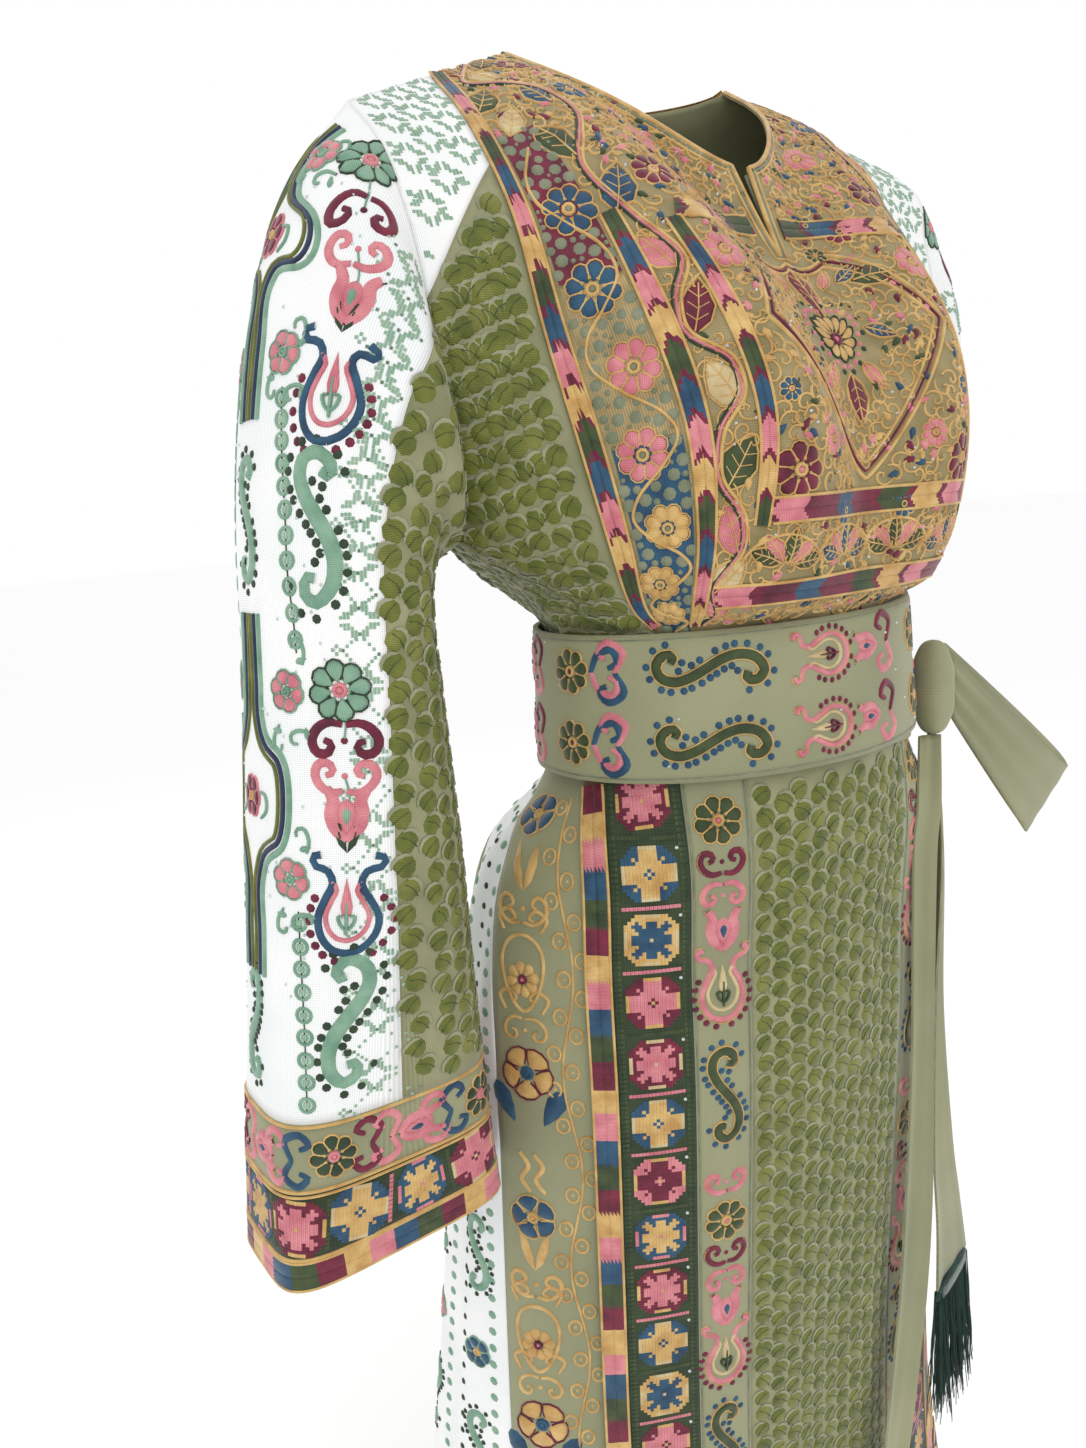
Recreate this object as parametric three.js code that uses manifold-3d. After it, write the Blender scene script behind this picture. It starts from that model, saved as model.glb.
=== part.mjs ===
// An embroidered thobe with its own belt, as the wearer fills it: hollow, belted and hanging.
// Millimetres, +Z up. The wearer faces -Y, so the wearer's right is -X.
// The origin lies between the shoulders, level with the points where the shoulder seams meet the neck.
import * as THREE from 'three';
import Module from 'manifold-3d';

// ---------------------------------------------------------------- driving dimensions
const CLOTH = 1.6; // embroidered cloth with its backing
const TRIM = 1.1; // ribbon or binding laid on a panel
const BELT_CLOTH = 3.0; // interlined belt
const SEAM = 0.3; // gap kept at every seam
const LAID = 0.4; // gap under what lies on or behind a panel

const NECK_HALF = 89; // neck point from the centre line
const NECK_BACK_OF_ORIGIN = 21;
// Each side of the bodice runs on over the neck to `top` (y and z on the centre line), and the
// neckline is cut into it, down to level `dip` on the centre line.
const FRONT_NECK = { top: [-64, -46], dip: 0.41 };
const BACK_NECK = { top: [56, 4], dip: 0.3 };
const SHOULDER_TIP = [216, -20, -53];
const ARM_BACK = { start: 100, depth: 16, fade: 60 };
const UNDERARM_FOLD = -335; // below this the bodice stands square again
const NECK_BINDING = 5; // width of the bound edge
const NECK_FACING = 22; // width of the facing behind it
const FACING_CLOTH = 1; // its thickness
const FACED = 0.15; // how far across it reaches from the centre
const SLIT_ROWS = 3; // rows of the chest panel that the neck slit opens

const BELT_TOP = -340;
const BELT_HEIGHT = 85;
const WAIST_SEAM = -366; // hidden under the belt
const HEM = -1400;
const WAIST_Y = -50; // the belt's centre lies this far in front of the origin

// Across the chest, as shares of the way from the centre front to the side seam.
const EDGE = 2 / 3; // outer edge of the chest panel
const OUTER_RIBBON = [0.622, EDGE];
const SECOND_RIBBON = [0.462, 0.505];
const INNER_RIBBON = [0.375, 0.41];
const WHITE_AT_EDGE = 1.5; // level where the white sleeve cloth ends beside the chest panel
const WHITE_AT_ARMHOLE = 2.5; // and where it ends at the armhole
const UNDERARM = 5; // level of the underarm

// Across the skirt, as lengths round it from the centre front.
const LEAF_PANEL = 70;
const MOTIF_STRIP = 108;
const CROSS_STITCH = 155;
const COLOUR_STRIP = 171;
const SAGE_PANEL = 236;
const UNDERLAP = 11; // how far the sage panel reaches under the colour strip
const SUNK = 4; // how deep it lies there
const SIDE_BACK = 62; // width of the sage panel behind each godet
const GODET_AT_WAIST = 34;
const GODET_AT_HEM = 250;

// Where the cuff's bands meet, counted in sleeve rings.
const SAGE_BAND = 7.67;
const CROSS_BAND = 8.2;
const CUFF_EDGE = 8.76;
const SLEEVE_END = 9;

// ---------------------------------------------------------------- tables of sizes
// One row for each level, from the shoulder seam (0) by the underarm (5) to the waist seam (8).
// Each column is a line down the wearer's left half, as [x, y, z].
const frontLevels = [
  { centre: [0, ...FRONT_NECK.top], bust: [89, 21, 0], edge: [165, -6, -34], side: SHOULDER_TIP },
  { centre: [0, -108, -134], bust: [86, -50, -46], edge: [162, -48, -66], side: [217, -52, -82] },
  { centre: [0, -146, -183], bust: [80, -112, -108], edge: [159, -78, -118], side: [213, -70, -130] },
  { centre: [0, -164, -225], bust: [73, -164, -176], edge: [156, -94, -178], side: [208, -72, -190] },
  { centre: [0, -168, -265], bust: [68, -182, -230], edge: [149, -108, -238], side: [203, -62, -245] },
  { centre: [0, -167, -300], bust: [70, -174, -285], edge: [139, -114, -288], side: [196, -50, -280] },
  { centre: [0, -163, -326], bust: [72, -156, -324], edge: [121, -106, -322], side: [156, -50, -308] },
  { centre: [0, -149, -340], bust: [70, -132, -340], edge: [104, -105, -340], side: [129, -50, -340] },
  { centre: [0, -145, -366], bust: [63, -132, -366], edge: [97, -110, -366], side: [125, -50, -366] },
];
const backLevels = [
  { centre: [0, ...BACK_NECK.top], bust: [89, 21, 0], edge: [165, -6, -34], side: SHOULDER_TIP },
  { centre: [0, 78, -50], bust: [88, 62, -40], edge: [162, 32, -62], side: [215, 6, -80] },
  { centre: [0, 84, -105], bust: [84, 78, -105], edge: [156, 56, -118], side: [210, 22, -130] },
  { centre: [0, 84, -165], bust: [82, 80, -170], edge: [152, 62, -178], side: [206, 30, -190] },
  { centre: [0, 80, -225], bust: [80, 77, -230], edge: [148, 56, -238], side: [202, 18, -245] },
  { centre: [0, 74, -285], bust: [78, 70, -285], edge: [142, 40, -288], side: [196, -50, -280] },
  { centre: [0, 64, -326], bust: [76, 52, -324], edge: [121, 10, -322], side: [156, -50, -308] },
  { centre: [0, 49, -340], bust: [66, 35, -340], edge: [104, 5, -340], side: [129, -50, -340] },
  { centre: [0, 45, -366], bust: [63, 32, -366], edge: [97, 10, -366], side: [125, -50, -366] },
];

// Right sleeve: one row for each ring, fanning from the armhole (0) to the hem (9).
// `outer` and `inner` are the ends of the ring, `depth` its half depth, `square` how boxy it is,
// and `back` and `close` how far the left arm carries its ring backwards and towards the body.
const sleeveRings = [
  { outer: [-216, -20, -53], inner: [-196, -50, -280], depth: 64, square: 2.0, back: 0, close: 0 },
  { outer: [-247, -20, -88], inner: [-203, -48, -284], depth: 66, square: 2.0, back: 14, close: 0 },
  { outer: [-272, -24, -135], inner: [-211, -46, -288], depth: 66, square: 2.0, back: 42, close: 6 },
  { outer: [-290, -27, -195], inner: [-218, -45, -295], depth: 64, square: 2.1, back: 80, close: 18 },
  { outer: [-302, -28, -265], inner: [-222, -44, -312], depth: 61, square: 2.2, back: 114, close: 30 },
  { outer: [-311, -28, -350], inner: [-218, -42, -360], depth: 57, square: 2.2, back: 142, close: 37 },
  { outer: [-322, -26, -440], inner: [-214, -40, -445], depth: 52, square: 2.4, back: 166, close: 38 },
  { outer: [-331, -24, -520], inner: [-212, -34, -522], depth: 49, square: 2.8, back: 188, close: 36 },
  { outer: [-340, -20, -600], inner: [-209, -27, -598], depth: 46, square: 3.6, back: 206, close: 32 },
  { outer: [-346, -18, -672], inner: [-206, -22, -664], depth: 43, square: 5.0, back: 222, close: 28 },
];

// Skirt: one row for each height, with the half width, half depth and centre of its ring.
const skirtRings = [
  { z: -366, wide: 125, deep: 95, y: -50 },
  { z: -400, wide: 127, deep: 97, y: -50 },
  { z: -434, wide: 131, deep: 101, y: -49 },
  { z: -475, wide: 166, deep: 116, y: -33 },
  { z: -540, wide: 184, deep: 124, y: -19 },
  { z: -615, wide: 193, deep: 131, y: -9 },
  { z: -740, wide: 205, deep: 135, y: 4 },
  { z: -870, wide: 218, deep: 139, y: 17 },
  { z: -1010, wide: 236, deep: 147, y: 29 },
  { z: -1200, wide: 264, deep: 165, y: 39 },
  { z: -1400, wide: 298, deep: 190, y: 46 },
];

// Folds of the skirt: where each ridge lies (degrees from the front, on both sides), its half
// width in degrees, its depth at the hem and under the belt, and where it starts.
const skirtFolds = [
  { angle: 10, half: 6, hem: 5, belt: 2, from: -440 },
  { angle: 27, half: 5, hem: 3, belt: 1, from: -460 },
  { angle: 88, half: 7, hem: 12, belt: 3, from: -440 },
  { angle: 106, half: 7, hem: 18, belt: 6, from: -436 },
  { angle: 124, half: 7, hem: 20, belt: 7, from: -436 },
  { angle: 142, half: 7, hem: 18, belt: 6, from: -436 },
  { angle: 160, half: 7, hem: 16, belt: 6, from: -436 },
  { angle: 180, half: 8, hem: 16, belt: 6, from: -436 },
];

const skirtHeights = [
  WAIST_SEAM, -400, -420, -434, -452, -475, -505, -540,
  -590, -650, -740, -830, -920, -1010, -1130, -1260, HEM,
];

// ---------------------------------------------------------------- colours
const finish = (color) => new THREE.MeshStandardMaterial({ color, roughness: 0.85, metalness: 0 });
const colours = {
  sage: 0x8f9370,
  leaf: 0x6a7a33,
  white: 0xe9ebe6,
  chest: 0xa08a5a,
  ribbon: 0xc98f55,
  crossStitch: 0x35482c,
  tassel: 0x12402f,
};

// ---------------------------------------------------------------- curves
const lerp = (a, b, t) => a + (b - a) * t;
const clamp = (value, low, high) => Math.min(high, Math.max(low, value));
const smooth = (t) => t * t * (3 - 2 * t);
const blend = (a, b, t) => a.clone().lerp(b, t);
const vector = ([x, y, z]) => new THREE.Vector3(x, y, z);

// A smooth curve through `values` (lists of numbers) that it meets at `knots`.
function curve(knots, values, at) {
  const last = knots.length - 1;
  let i = 0;
  while (i < last - 1 && at >= knots[i + 1]) i += 1;
  const gap = (k) => knots[k + 1] - knots[k];
  const slope = (k, n) => (values[k + 1][n] - values[k][n]) / gap(k);
  const tangent = (k, n) => {
    if (k === 0) return slope(0, n);
    if (k === last) return slope(last - 1, n);
    return (slope(k - 1, n) * gap(k) + slope(k, n) * gap(k - 1)) / (gap(k) + gap(k - 1));
  };
  const t = (at - knots[i]) / gap(i);
  return values[i].map((start, n) => {
    const end = values[i + 1][n];
    const rise = (t ** 3 - 2 * t ** 2 + t) * tangent(i, n) + (t ** 3 - t ** 2) * tangent(i + 1, n);
    return (2 * t ** 3 - 3 * t ** 2 + 1) * start + (3 * t ** 2 - 2 * t ** 3) * end + rise * gap(i);
  });
}

// Evenly spaced numbers, both ends included.
const steps = (from, to, count) => Array.from({ length: count + 1 }, (_, i) => lerp(from, to, i / count));

// A grid of points: rows run down the cloth, columns run from the wearer's right round the front.
const gridOf = (rows, columns, point) => rows.map((row) => columns.map((column) => point(column, row)));

// The wearer's left arm is carried back, which draws that side of the bodice back with it.
function drawnBack(point) {
  const share = (point.x - ARM_BACK.start) / (SHOULDER_TIP[0] - ARM_BACK.start);
  const belowSeam = SHOULDER_TIP[2] * ((point.x - NECK_HALF) / (SHOULDER_TIP[0] - NECK_HALF)) - point.z;
  const limits = [share, belowSeam / ARM_BACK.fade, (point.z - UNDERARM_FOLD) / ARM_BACK.fade];
  const part = limits.reduce((product, limit) => product * smooth(clamp(limit, 0, 1)), 1);
  return new THREE.Vector3(point.x, point.y + ARM_BACK.depth * part, point.z);
}
const mirror = (p) => drawnBack(new THREE.Vector3(-p.x, p.y, p.z));
const mirrored = (grid) => grid.map((row) => row.map(mirror).reverse());

// ---------------------------------------------------------------- the bodice
const COLUMNS = ['centre', 'bust', 'edge', 'side'];
const acrossKnots = [-1, -2 / 3, -1 / 3, 0, 1 / 3, 2 / 3, 1];
const mirrorX = ([x, y, z]) => [-x, y, z];
const acrossValues = (level) => [
  ...[3, 2, 1].map((i) => mirrorX(level[COLUMNS[i]])),
  ...COLUMNS.map((name) => level[name]),
];

// The top edge: over the neck, where it is cut away, and then along the straight shoulder seam.
const NECK_POINT = [NECK_HALF, NECK_BACK_OF_ORIGIN, 0];
const neckShare = (across) => Math.min(1, Math.abs(across) * 3); // 1 at the neck point
function topEdge(across, centre) {
  const share = neckShare(across);
  if (share === 1) return NECK_POINT.map((start, i) => lerp(start, SHOULDER_TIP[i], (across - 1 / 3) * 1.5));
  return [NECK_HALF * share, lerp(centre[1], NECK_POINT[1], share ** 3), lerp(centre[2], 0, share ** 3)];
}

// A point of the bodice. `across` runs from -1 (right side) to 1 (left side), `level` down the table.
function bodice(levels, across, level) {
  const half = Math.abs(across);
  const sideKnots = [5, 6, 7, 8];
  let point = null;
  if (half > 1 - 1e-6 && level > UNDERARM) {
    point = curve(sideKnots, sideKnots.map((k) => levels[k].side), level);
  } else {
    const low = levels.slice(1).map((row) => curve(acrossKnots, acrossValues(row), half));
    const down = [topEdge(half, levels[0].centre), ...low];
    point = curve(levels.map((_, k) => k), down, level);
  }
  return across < 0 ? vector(mirrorX(point)) : drawnBack(vector(point));
}
const front = (across, level) => bodice(frontLevels, across, level);
const back = (across, level) => bodice(backLevels, across, level);

// Rows of the bodice: five to the end of the white cloth, six to the underarm, five to the waist.
const WHITE_ROWS = 5;
const ARM_ROWS = 11;
const pastEdge = (across) => clamp((Math.abs(across) - EDGE) * 3, 0, 1);
const whiteEnd = (across) => lerp(WHITE_AT_EDGE, WHITE_AT_ARMHOLE, pastEdge(across));
const lowLevels = [5.5, 6, 6.5, 7, 8];
const LAST_ROW = ARM_ROWS + lowLevels.length;
function levelOf(row, across, neck = FRONT_NECK) {
  const end = whiteEnd(across);
  const start = neck.dip * Math.sqrt(1 - neckShare(across) ** 2);
  if (row <= WHITE_ROWS) return lerp(start, end, row / WHITE_ROWS);
  if (row <= ARM_ROWS) return lerp(end, UNDERARM, (row - WHITE_ROWS) / (ARM_ROWS - WHITE_ROWS));
  return lowLevels[row - ARM_ROWS - 1];
}
const rowsBetween = (first, last) => Array.from({ length: last - first + 1 }, (_, i) => first + i);

// Columns of the chest panel, outward from the slit. Each ribbon edge has a column of its own.
const chestColumns = [0.1, 0.2, 0.28, 1 / 3, ...INNER_RIBBON, ...SECOND_RIBBON, 0.56, ...OUTER_RIBBON];
const slitHalf = [0.024, 0.017, 0.009, 0.0015];
const centreHalf = 0.03; // half width of the middle cells below the slit
const slitAt = (row) => slitHalf[row] ?? centreHalf;
const chestRow = (row) => {
  const left = [slitAt(row), ...chestColumns];
  const across = [...left.map((c) => -c).reverse(), ...left];
  return across.map((c) => front(c, levelOf(row, c)));
};
const chestGrid = rowsBetween(0, LAST_ROW).map(chestRow);
const MIDDLE = chestColumns.length; // the cell between the two slit columns

// A point on the chest panel as it is built, beside the neck, for what lies on it.
const besideNeck = (row) => levelOf(row, EDGE);
function onChest(across, level) {
  const half = Math.abs(across);
  let row = 0;
  while (row < LAST_ROW - 1 && besideNeck(row + 1) <= level) row += 1;
  const down = (level - besideNeck(row)) / (besideNeck(row + 1) - besideNeck(row));
  const edge = (i, r) => (i === 0 ? slitAt(r) : chestColumns[i - 1]);
  let column = 0;
  while (column < chestColumns.length - 1 && edge(column + 1, row) <= half) column += 1;
  const place = (i) => (across < 0 ? MIDDLE - i : MIDDLE + 1 + i);
  const at = (r) => {
    const t = clamp((half - edge(column, r)) / (edge(column + 1, r) - edge(column, r)), 0, 1);
    return blend(chestGrid[r][place(column)], chestGrid[r][place(column + 1)], t);
  };
  return blend(at(row), at(row + 1), down);
}

// The level at which a line down the chest panel reaches height z.
function levelAtHeight(across, z) {
  let high = 0;
  let low = 8;
  for (let i = 0; i < 30; i += 1) {
    const middle = (high + low) / 2;
    if (onChest(across, middle).z > z) high = middle;
    else low = middle;
  }
  return (high + low) / 2;
}

// ---------------------------------------------------------------- the sleeves
// `round` is 0 on the outside of the arm, 0.5 in front, 1 at the underarm and 1.5 behind.
const spread = (value, square) => Math.sign(value) * Math.abs(value) ** (2 / square);
function sleeveRing(index, round) {
  const ring = sleeveRings[index];
  const turn = (round + 2) % 2;
  if (index === 0) {
    return (turn <= 1 ? front(-1, turn * UNDERARM) : back(-1, (2 - turn) * UNDERARM)).toArray();
  }
  const along = spread(Math.cos(Math.PI * turn), ring.square);
  const fore = spread(Math.sin(Math.PI * turn), ring.square);
  const point = ring.outer.map((outer, i) => lerp(outer, ring.inner[i], (1 - along) / 2));
  point[1] -= ring.depth * fore;
  return point;
}
const ringNumbers = sleeveRings.map((_, i) => i);
function sleeve(round, down, swing) {
  const rings = ringNumbers.map((i) => {
    const point = sleeveRing(i, round);
    point[0] += sleeveRings[i].close * swing;
    point[1] += sleeveRings[i].back * swing;
    return point;
  });
  return vector(curve(ringNumbers, rings, down));
}

// ---------------------------------------------------------------- the skirt
const RADIAN = Math.PI / 180;
const HOLLOW = { deep: 0.45, wide: 2.5 }; // the soft hollow that each ridge stands in
function foldDepth(angle, z) {
  let depth = 0;
  for (const fold of skirtFolds) {
    const start = smooth(clamp((fold.from - z) / 30, 0, 1));
    const size = start * lerp(fold.belt, fold.hem, clamp((fold.from - z) / (fold.from - HEM), 0, 1));
    const away = (Math.abs(angle) / RADIAN - fold.angle) / fold.half;
    depth += size * (Math.exp(-away * away) - HOLLOW.deep * Math.exp(-((away / HOLLOW.wide) ** 2)));
  }
  return depth;
}
function skirtAtAngle(angle, z, sink = 0) {
  const rows = skirtRings.map((ring) => [ring.wide, ring.deep, ring.y]);
  const [wide, deep, centre] = curve(skirtRings.map((ring) => -ring.z), rows, -z);
  const out = foldDepth(angle, z) - sink;
  const side = Math.sin(angle);
  const fore = Math.cos(angle);
  const size = Math.hypot(side * deep, fore * wide);
  const outX = (side * deep) / size;
  const outY = (fore * wide) / size;
  return new THREE.Vector3(wide * side + out * outX, centre - deep * fore - out * outY, z);
}
const ringLengths = new Map();
function lengthsAt(z) {
  if (!ringLengths.has(z)) {
    const lengths = [0];
    const rows = skirtRings.map((ring) => [ring.wide, ring.deep]);
    const [wide, deep] = curve(skirtRings.map((ring) => -ring.z), rows, -z);
    for (let degree = 0; degree < 180; degree += 1) {
      const middle = (degree + 0.5) * RADIAN;
      lengths.push(lengths[degree] + Math.hypot(wide * Math.cos(middle), deep * Math.sin(middle)) * RADIAN);
    }
    ringLengths.set(z, lengths);
  }
  return ringLengths.get(z);
}
// The angle at which the ring at height z is `length` round from the centre front.
function angleAt(length, z) {
  const lengths = lengthsAt(z);
  const target = Math.abs(length);
  let degree = 0;
  while (degree < 179 && lengths[degree + 1] < target) degree += 1;
  const part = (target - lengths[degree]) / (lengths[degree + 1] - lengths[degree]);
  return Math.sign(length) * (degree + part) * RADIAN;
}
const halfRound = (z) => lengthsAt(z)[180];
const godetWidth = (z) => lerp(GODET_AT_WAIST, GODET_AT_HEM, (WAIST_SEAM - z) / (WAIST_SEAM - HEM));
const godetEnd = (z) => SAGE_PANEL + godetWidth(z);
const sideBackEnd = (z) => godetEnd(z) + Math.min(SIDE_BACK, (halfRound(z) - godetEnd(z)) * 0.6);

// A skirt panel between two lines, each a length from the centre front at a height.
function skirtPanel(from, to, columns, sink = () => 0) {
  return skirtHeights.map((z) => steps(from(z), to(z), columns).map((length) => {
    const angle = angleAt(length, z);
    return skirtAtAngle(angle, z, sink(Math.abs(length)));
  }));
}
const fixed = (length) => () => length;

// ---------------------------------------------------------------- cloth walls
// Points within a fiftieth of a millimetre count as one. The offset keeps round sizes off the limit.
const KEY_STEPS = 50;
const KEY_OFFSET = 0.217;
const pointKey = (p) => [p.x, p.y, p.z].map((n) => Math.round(n * KEY_STEPS + KEY_OFFSET)).join();

// Joins triangles into one surface: points that coincide are merged.
function joined(triangles) {
  const index = new Map();
  const points = [];
  const number = (p) => {
    const key = pointKey(p);
    if (!index.has(key)) {
      index.set(key, points.length);
      points.push(p);
    }
    return index.get(key);
  };
  const faces = triangles.map((triangle) => triangle.map(number));
  return { points, faces: faces.filter(([a, b, c]) => a !== b && b !== c && c !== a) };
}

// The two triangles of each cell of a grid, facing outwards.
function cells(grid, leftOut = () => false) {
  const triangles = [];
  for (let r = 0; r < grid.length - 1; r += 1) {
    for (let c = 0; c < grid[r].length - 1; c += 1) {
      if (leftOut(r, c)) continue;
      const [a, b, d, e] = [grid[r][c], grid[r + 1][c], grid[r + 1][c + 1], grid[r][c + 1]];
      triangles.push([a, b, d], [a, d, e]);
    }
  }
  return triangles;
}
const surface = (patches, leftOut) => joined(patches.flatMap((grid) => cells(grid, leftOut)));

// Normals are shared wherever two pieces of the dress meet, so their walls stay parallel at the seam.
const sharedNormals = new Map();
function addNormals(target, { points, faces }) {
  for (const [a, b, c] of faces) {
    const ab = points[b].clone().sub(points[a]);
    const normal = ab.cross(points[c].clone().sub(points[a]));
    for (const i of [a, b, c]) {
      const key = pointKey(points[i]);
      if (!target.has(key)) target.set(key, new THREE.Vector3());
      target.get(key).add(normal);
    }
  }
}

// The way in from each edge point, along the cloth, that opens half the seam gap.
function seamShifts({ points, faces }, normals) {
  const count = new Map();
  for (const face of faces) {
    face.forEach((a, i) => {
      const b = face[(i + 1) % 3];
      count.set(`${a},${b}`, [a, b]);
    });
  }
  const edges = [...count.values()].filter(([a, b]) => !count.has(`${b},${a}`));
  const inward = points.map(() => []);
  for (const [a, b] of edges) {
    const along = points[b].clone().sub(points[a]);
    const normal = normals[a].clone().add(normals[b]);
    const way = normal.cross(along).normalize();
    inward[a].push(way);
    inward[b].push(way);
  }
  const shifts = inward.map((ways) => {
    const shift = new THREE.Vector3();
    if (ways.length === 0) return shift;
    ways.forEach((way) => shift.add(way));
    const open = ways.length === 2 ? Math.max(0.4, 1 + ways[0].dot(ways[1])) : 1;
    return shift.multiplyScalar(SEAM / 2 / open);
  });
  return { edges, shifts };
}

// A closed wall: the surface, moved out by `lift`, and its copy `thick` further in.
function wall(sheet, { thick = CLOTH, lift = 0, normals = sharedNormals }) {
  const ways = sheet.points.map((p) => normals.get(pointKey(p)).clone().normalize());
  const { edges, shifts } = seamShifts(sheet, ways);
  const total = sheet.points.length;
  const positions = new Float32Array(total * 6);
  sheet.points.forEach((p, i) => {
    const outer = p.clone().add(shifts[i]).addScaledVector(ways[i], lift);
    const inner = outer.clone().addScaledVector(ways[i], -thick);
    outer.toArray(positions, i * 3);
    inner.toArray(positions, (total + i) * 3);
  });
  const triangles = [];
  for (const [a, b, c] of sheet.faces) {
    triangles.push(a, b, c);
    triangles.push(total + a, total + c, total + b);
  }
  for (const [a, b] of edges) {
    // Both pieces at a seam split the wall between two points along the same diagonal.
    const diagonalFromB = pointKey(sheet.points[a]) < pointKey(sheet.points[b]);
    if (diagonalFromB) triangles.push(b, a, total + a, b, total + a, total + b);
    else triangles.push(b, a, total + b, a, total + a, total + b);
  }
  const geometry = new THREE.BufferGeometry();
  geometry.setAttribute('position', new THREE.BufferAttribute(positions, 3));
  geometry.setIndex(triangles);
  geometry.computeVertexNormals();
  return geometry;
}

// ---------------------------------------------------------------- the pieces of the dress
const dress = [];
function sew(name, colour, patches, leftOut) {
  const sheet = surface(patches, leftOut);
  addNormals(sharedNormals, sheet);
  dress.push({ name, colour, sheet });
}
const bothSides = (name, colour, patches) => {
  sew(`${name}_right`, colour, patches);
  sew(`${name}_left`, colour, patches.map(mirrored));
};

// Bodice: chest panel with its slit, the sides of the front, and the back in one piece.
const rightSide = [-1, -5 / 6, -EDGE];
const onFront = (across, row) => front(across, levelOf(row, across, FRONT_NECK));
const onBack = (across, row) => back(across, levelOf(row, across, BACK_NECK));
const inSlit = (row, column) => column === MIDDLE && row < SLIT_ROWS;
sew('chest_panel', 'chest', [chestGrid], inSlit);
bothSides('side_front', 'leaf', [gridOf(rowsBetween(WHITE_ROWS, LAST_ROW), rightSide, onFront)]);
const backMiddle = [EDGE, 0.5, 1 / 3, 1 / 6, 0, -1 / 6, -1 / 3, -0.5, -EDGE];
const outsideNeck = (column) => column >= 1 / 3;
const shoulderSeam = [...chestColumns.filter(outsideNeck), ...backMiddle.filter(outsideNeck), 5 / 6, 1];
const backRight = [-EDGE, -5 / 6, -1];
const backLeft = [1, 5 / 6, EDGE];
const lowRows = rowsBetween(WHITE_ROWS, LAST_ROW);
sew('back_bodice', 'leaf', [
  gridOf(rowsBetween(0, LAST_ROW), backMiddle, onBack),
  gridOf(lowRows, backRight, onBack),
  gridOf(lowRows, backLeft, onBack),
]);

// Sleeves: a white top cloth that runs on over the shoulder, a leaf under cloth and a banded cuff.
const topRounds = steps(-0.5, 0.5, WHITE_ROWS * 2);
const underRounds = steps(0.5, 1.5, (ARM_ROWS - WHITE_ROWS) * 2);
const allRounds = [...topRounds, ...underRounds.slice(1)];
const armRows = [0, 0.5, 1, 1.5, 2, 3, 4, 4.7, 5.5, 6.2, 7, SAGE_BAND];
const whiteRows = rowsBetween(0, WHITE_ROWS);
function makeSleeve(side, swing) {
  const place = side === 'right' ? (grid) => grid : mirrored;
  const tube = (rows, rounds) => place(gridOf(rows, rounds, (round, down) => sleeve(round, down, swing)));
  const shoulderFront = place(gridOf(whiteRows, rightSide, onFront));
  const shoulderBack = place(gridOf(whiteRows, backRight, onBack));
  sew(`sleeve_top_${side}`, 'white', [tube(armRows, topRounds), shoulderFront, shoulderBack]);
  sew(`sleeve_under_${side}`, 'leaf', [tube(armRows, underRounds)]);
  sew(`cuff_sage_band_${side}`, 'sage', [tube([SAGE_BAND, CROSS_BAND], allRounds)]);
  sew(`cuff_cross_stitch_${side}`, 'crossStitch', [tube([CROSS_BAND, CUFF_EDGE], allRounds)]);
  sew(`cuff_edge_${side}`, 'ribbon', [tube([CUFF_EDGE, SLEEVE_END], allRounds)]);
}
makeSleeve('right', 0);
makeSleeve('left', 1);

// Skirt: the front apron in seven strips, then sage, white godet and sage, and the back.
const minus = (line) => (z) => -line(z);
const bothSkirtSides = (name, colour, near, far, columns) => {
  bothSides(name, colour, [skirtPanel(minus(far), minus(near), columns)]);
};
sew('skirt_leaf_panel', 'leaf', [skirtPanel(fixed(-LEAF_PANEL), fixed(LEAF_PANEL), 8)]);
bothSkirtSides('skirt_motif_strip', 'sage', fixed(LEAF_PANEL), fixed(MOTIF_STRIP), 2);
bothSkirtSides('skirt_cross_stitch', 'crossStitch', fixed(MOTIF_STRIP), fixed(CROSS_STITCH), 2);
bothSkirtSides('skirt_colour_strip', 'ribbon', fixed(CROSS_STITCH), fixed(COLOUR_STRIP), 1);
function underlap(length) {
  const clear = (length - COLOUR_STRIP) / (SAGE_PANEL - COLOUR_STRIP);
  return SUNK * (1 - smooth(clamp(clear, 0, 1)));
}
const sagePanel = skirtPanel(fixed(-SAGE_PANEL), fixed(UNDERLAP - COLOUR_STRIP), 5, underlap);
bothSides('skirt_sage_panel', 'sage', [sagePanel]);
bothSkirtSides('skirt_godet', 'white', fixed(SAGE_PANEL), godetEnd, 7);
bothSkirtSides('skirt_side_back', 'sage', godetEnd, sideBackEnd, 3);
const backRows = skirtHeights.map((z) => {
  const end = sideBackEnd(z);
  const round = halfRound(z);
  return steps(end, 2 * round - end, 12).map((length) => {
    const angle = length <= round ? angleAt(length, z) : angleAt(length - 2 * round, z);
    return skirtAtAngle(angle, z);
  });
});
sew('skirt_back', 'leaf', [backRows]);

// Along the shoulder seam the cloth of both sides stands level, across the seam's slope.
const SEAM_WAY = [0.36, 0.04, 0.93];
for (const across of shoulderSeam) {
  sharedNormals.set(pointKey(front(across, 0)), vector(SEAM_WAY));
  sharedNormals.set(pointKey(front(-across, 0)), vector(mirrorX(SEAM_WAY)));
}

// ---------------------------------------------------------------- what is laid on the dress
const trims = [];
const wayAt = (p) => sharedNormals.get(pointKey(p)).clone().normalize();
const backGrid = gridOf(rowsBetween(0, WHITE_ROWS), backMiddle, onBack);
const slitEdge = rowsBetween(0, SLIT_ROWS).map((row) => chestGrid[row][MIDDLE + 1]).reverse();
const neckEdge = [...slitEdge, ...chestGrid[0].slice(MIDDLE + 2, MIDDLE + 6), ...backGrid[0].slice(3, 5)];
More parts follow.
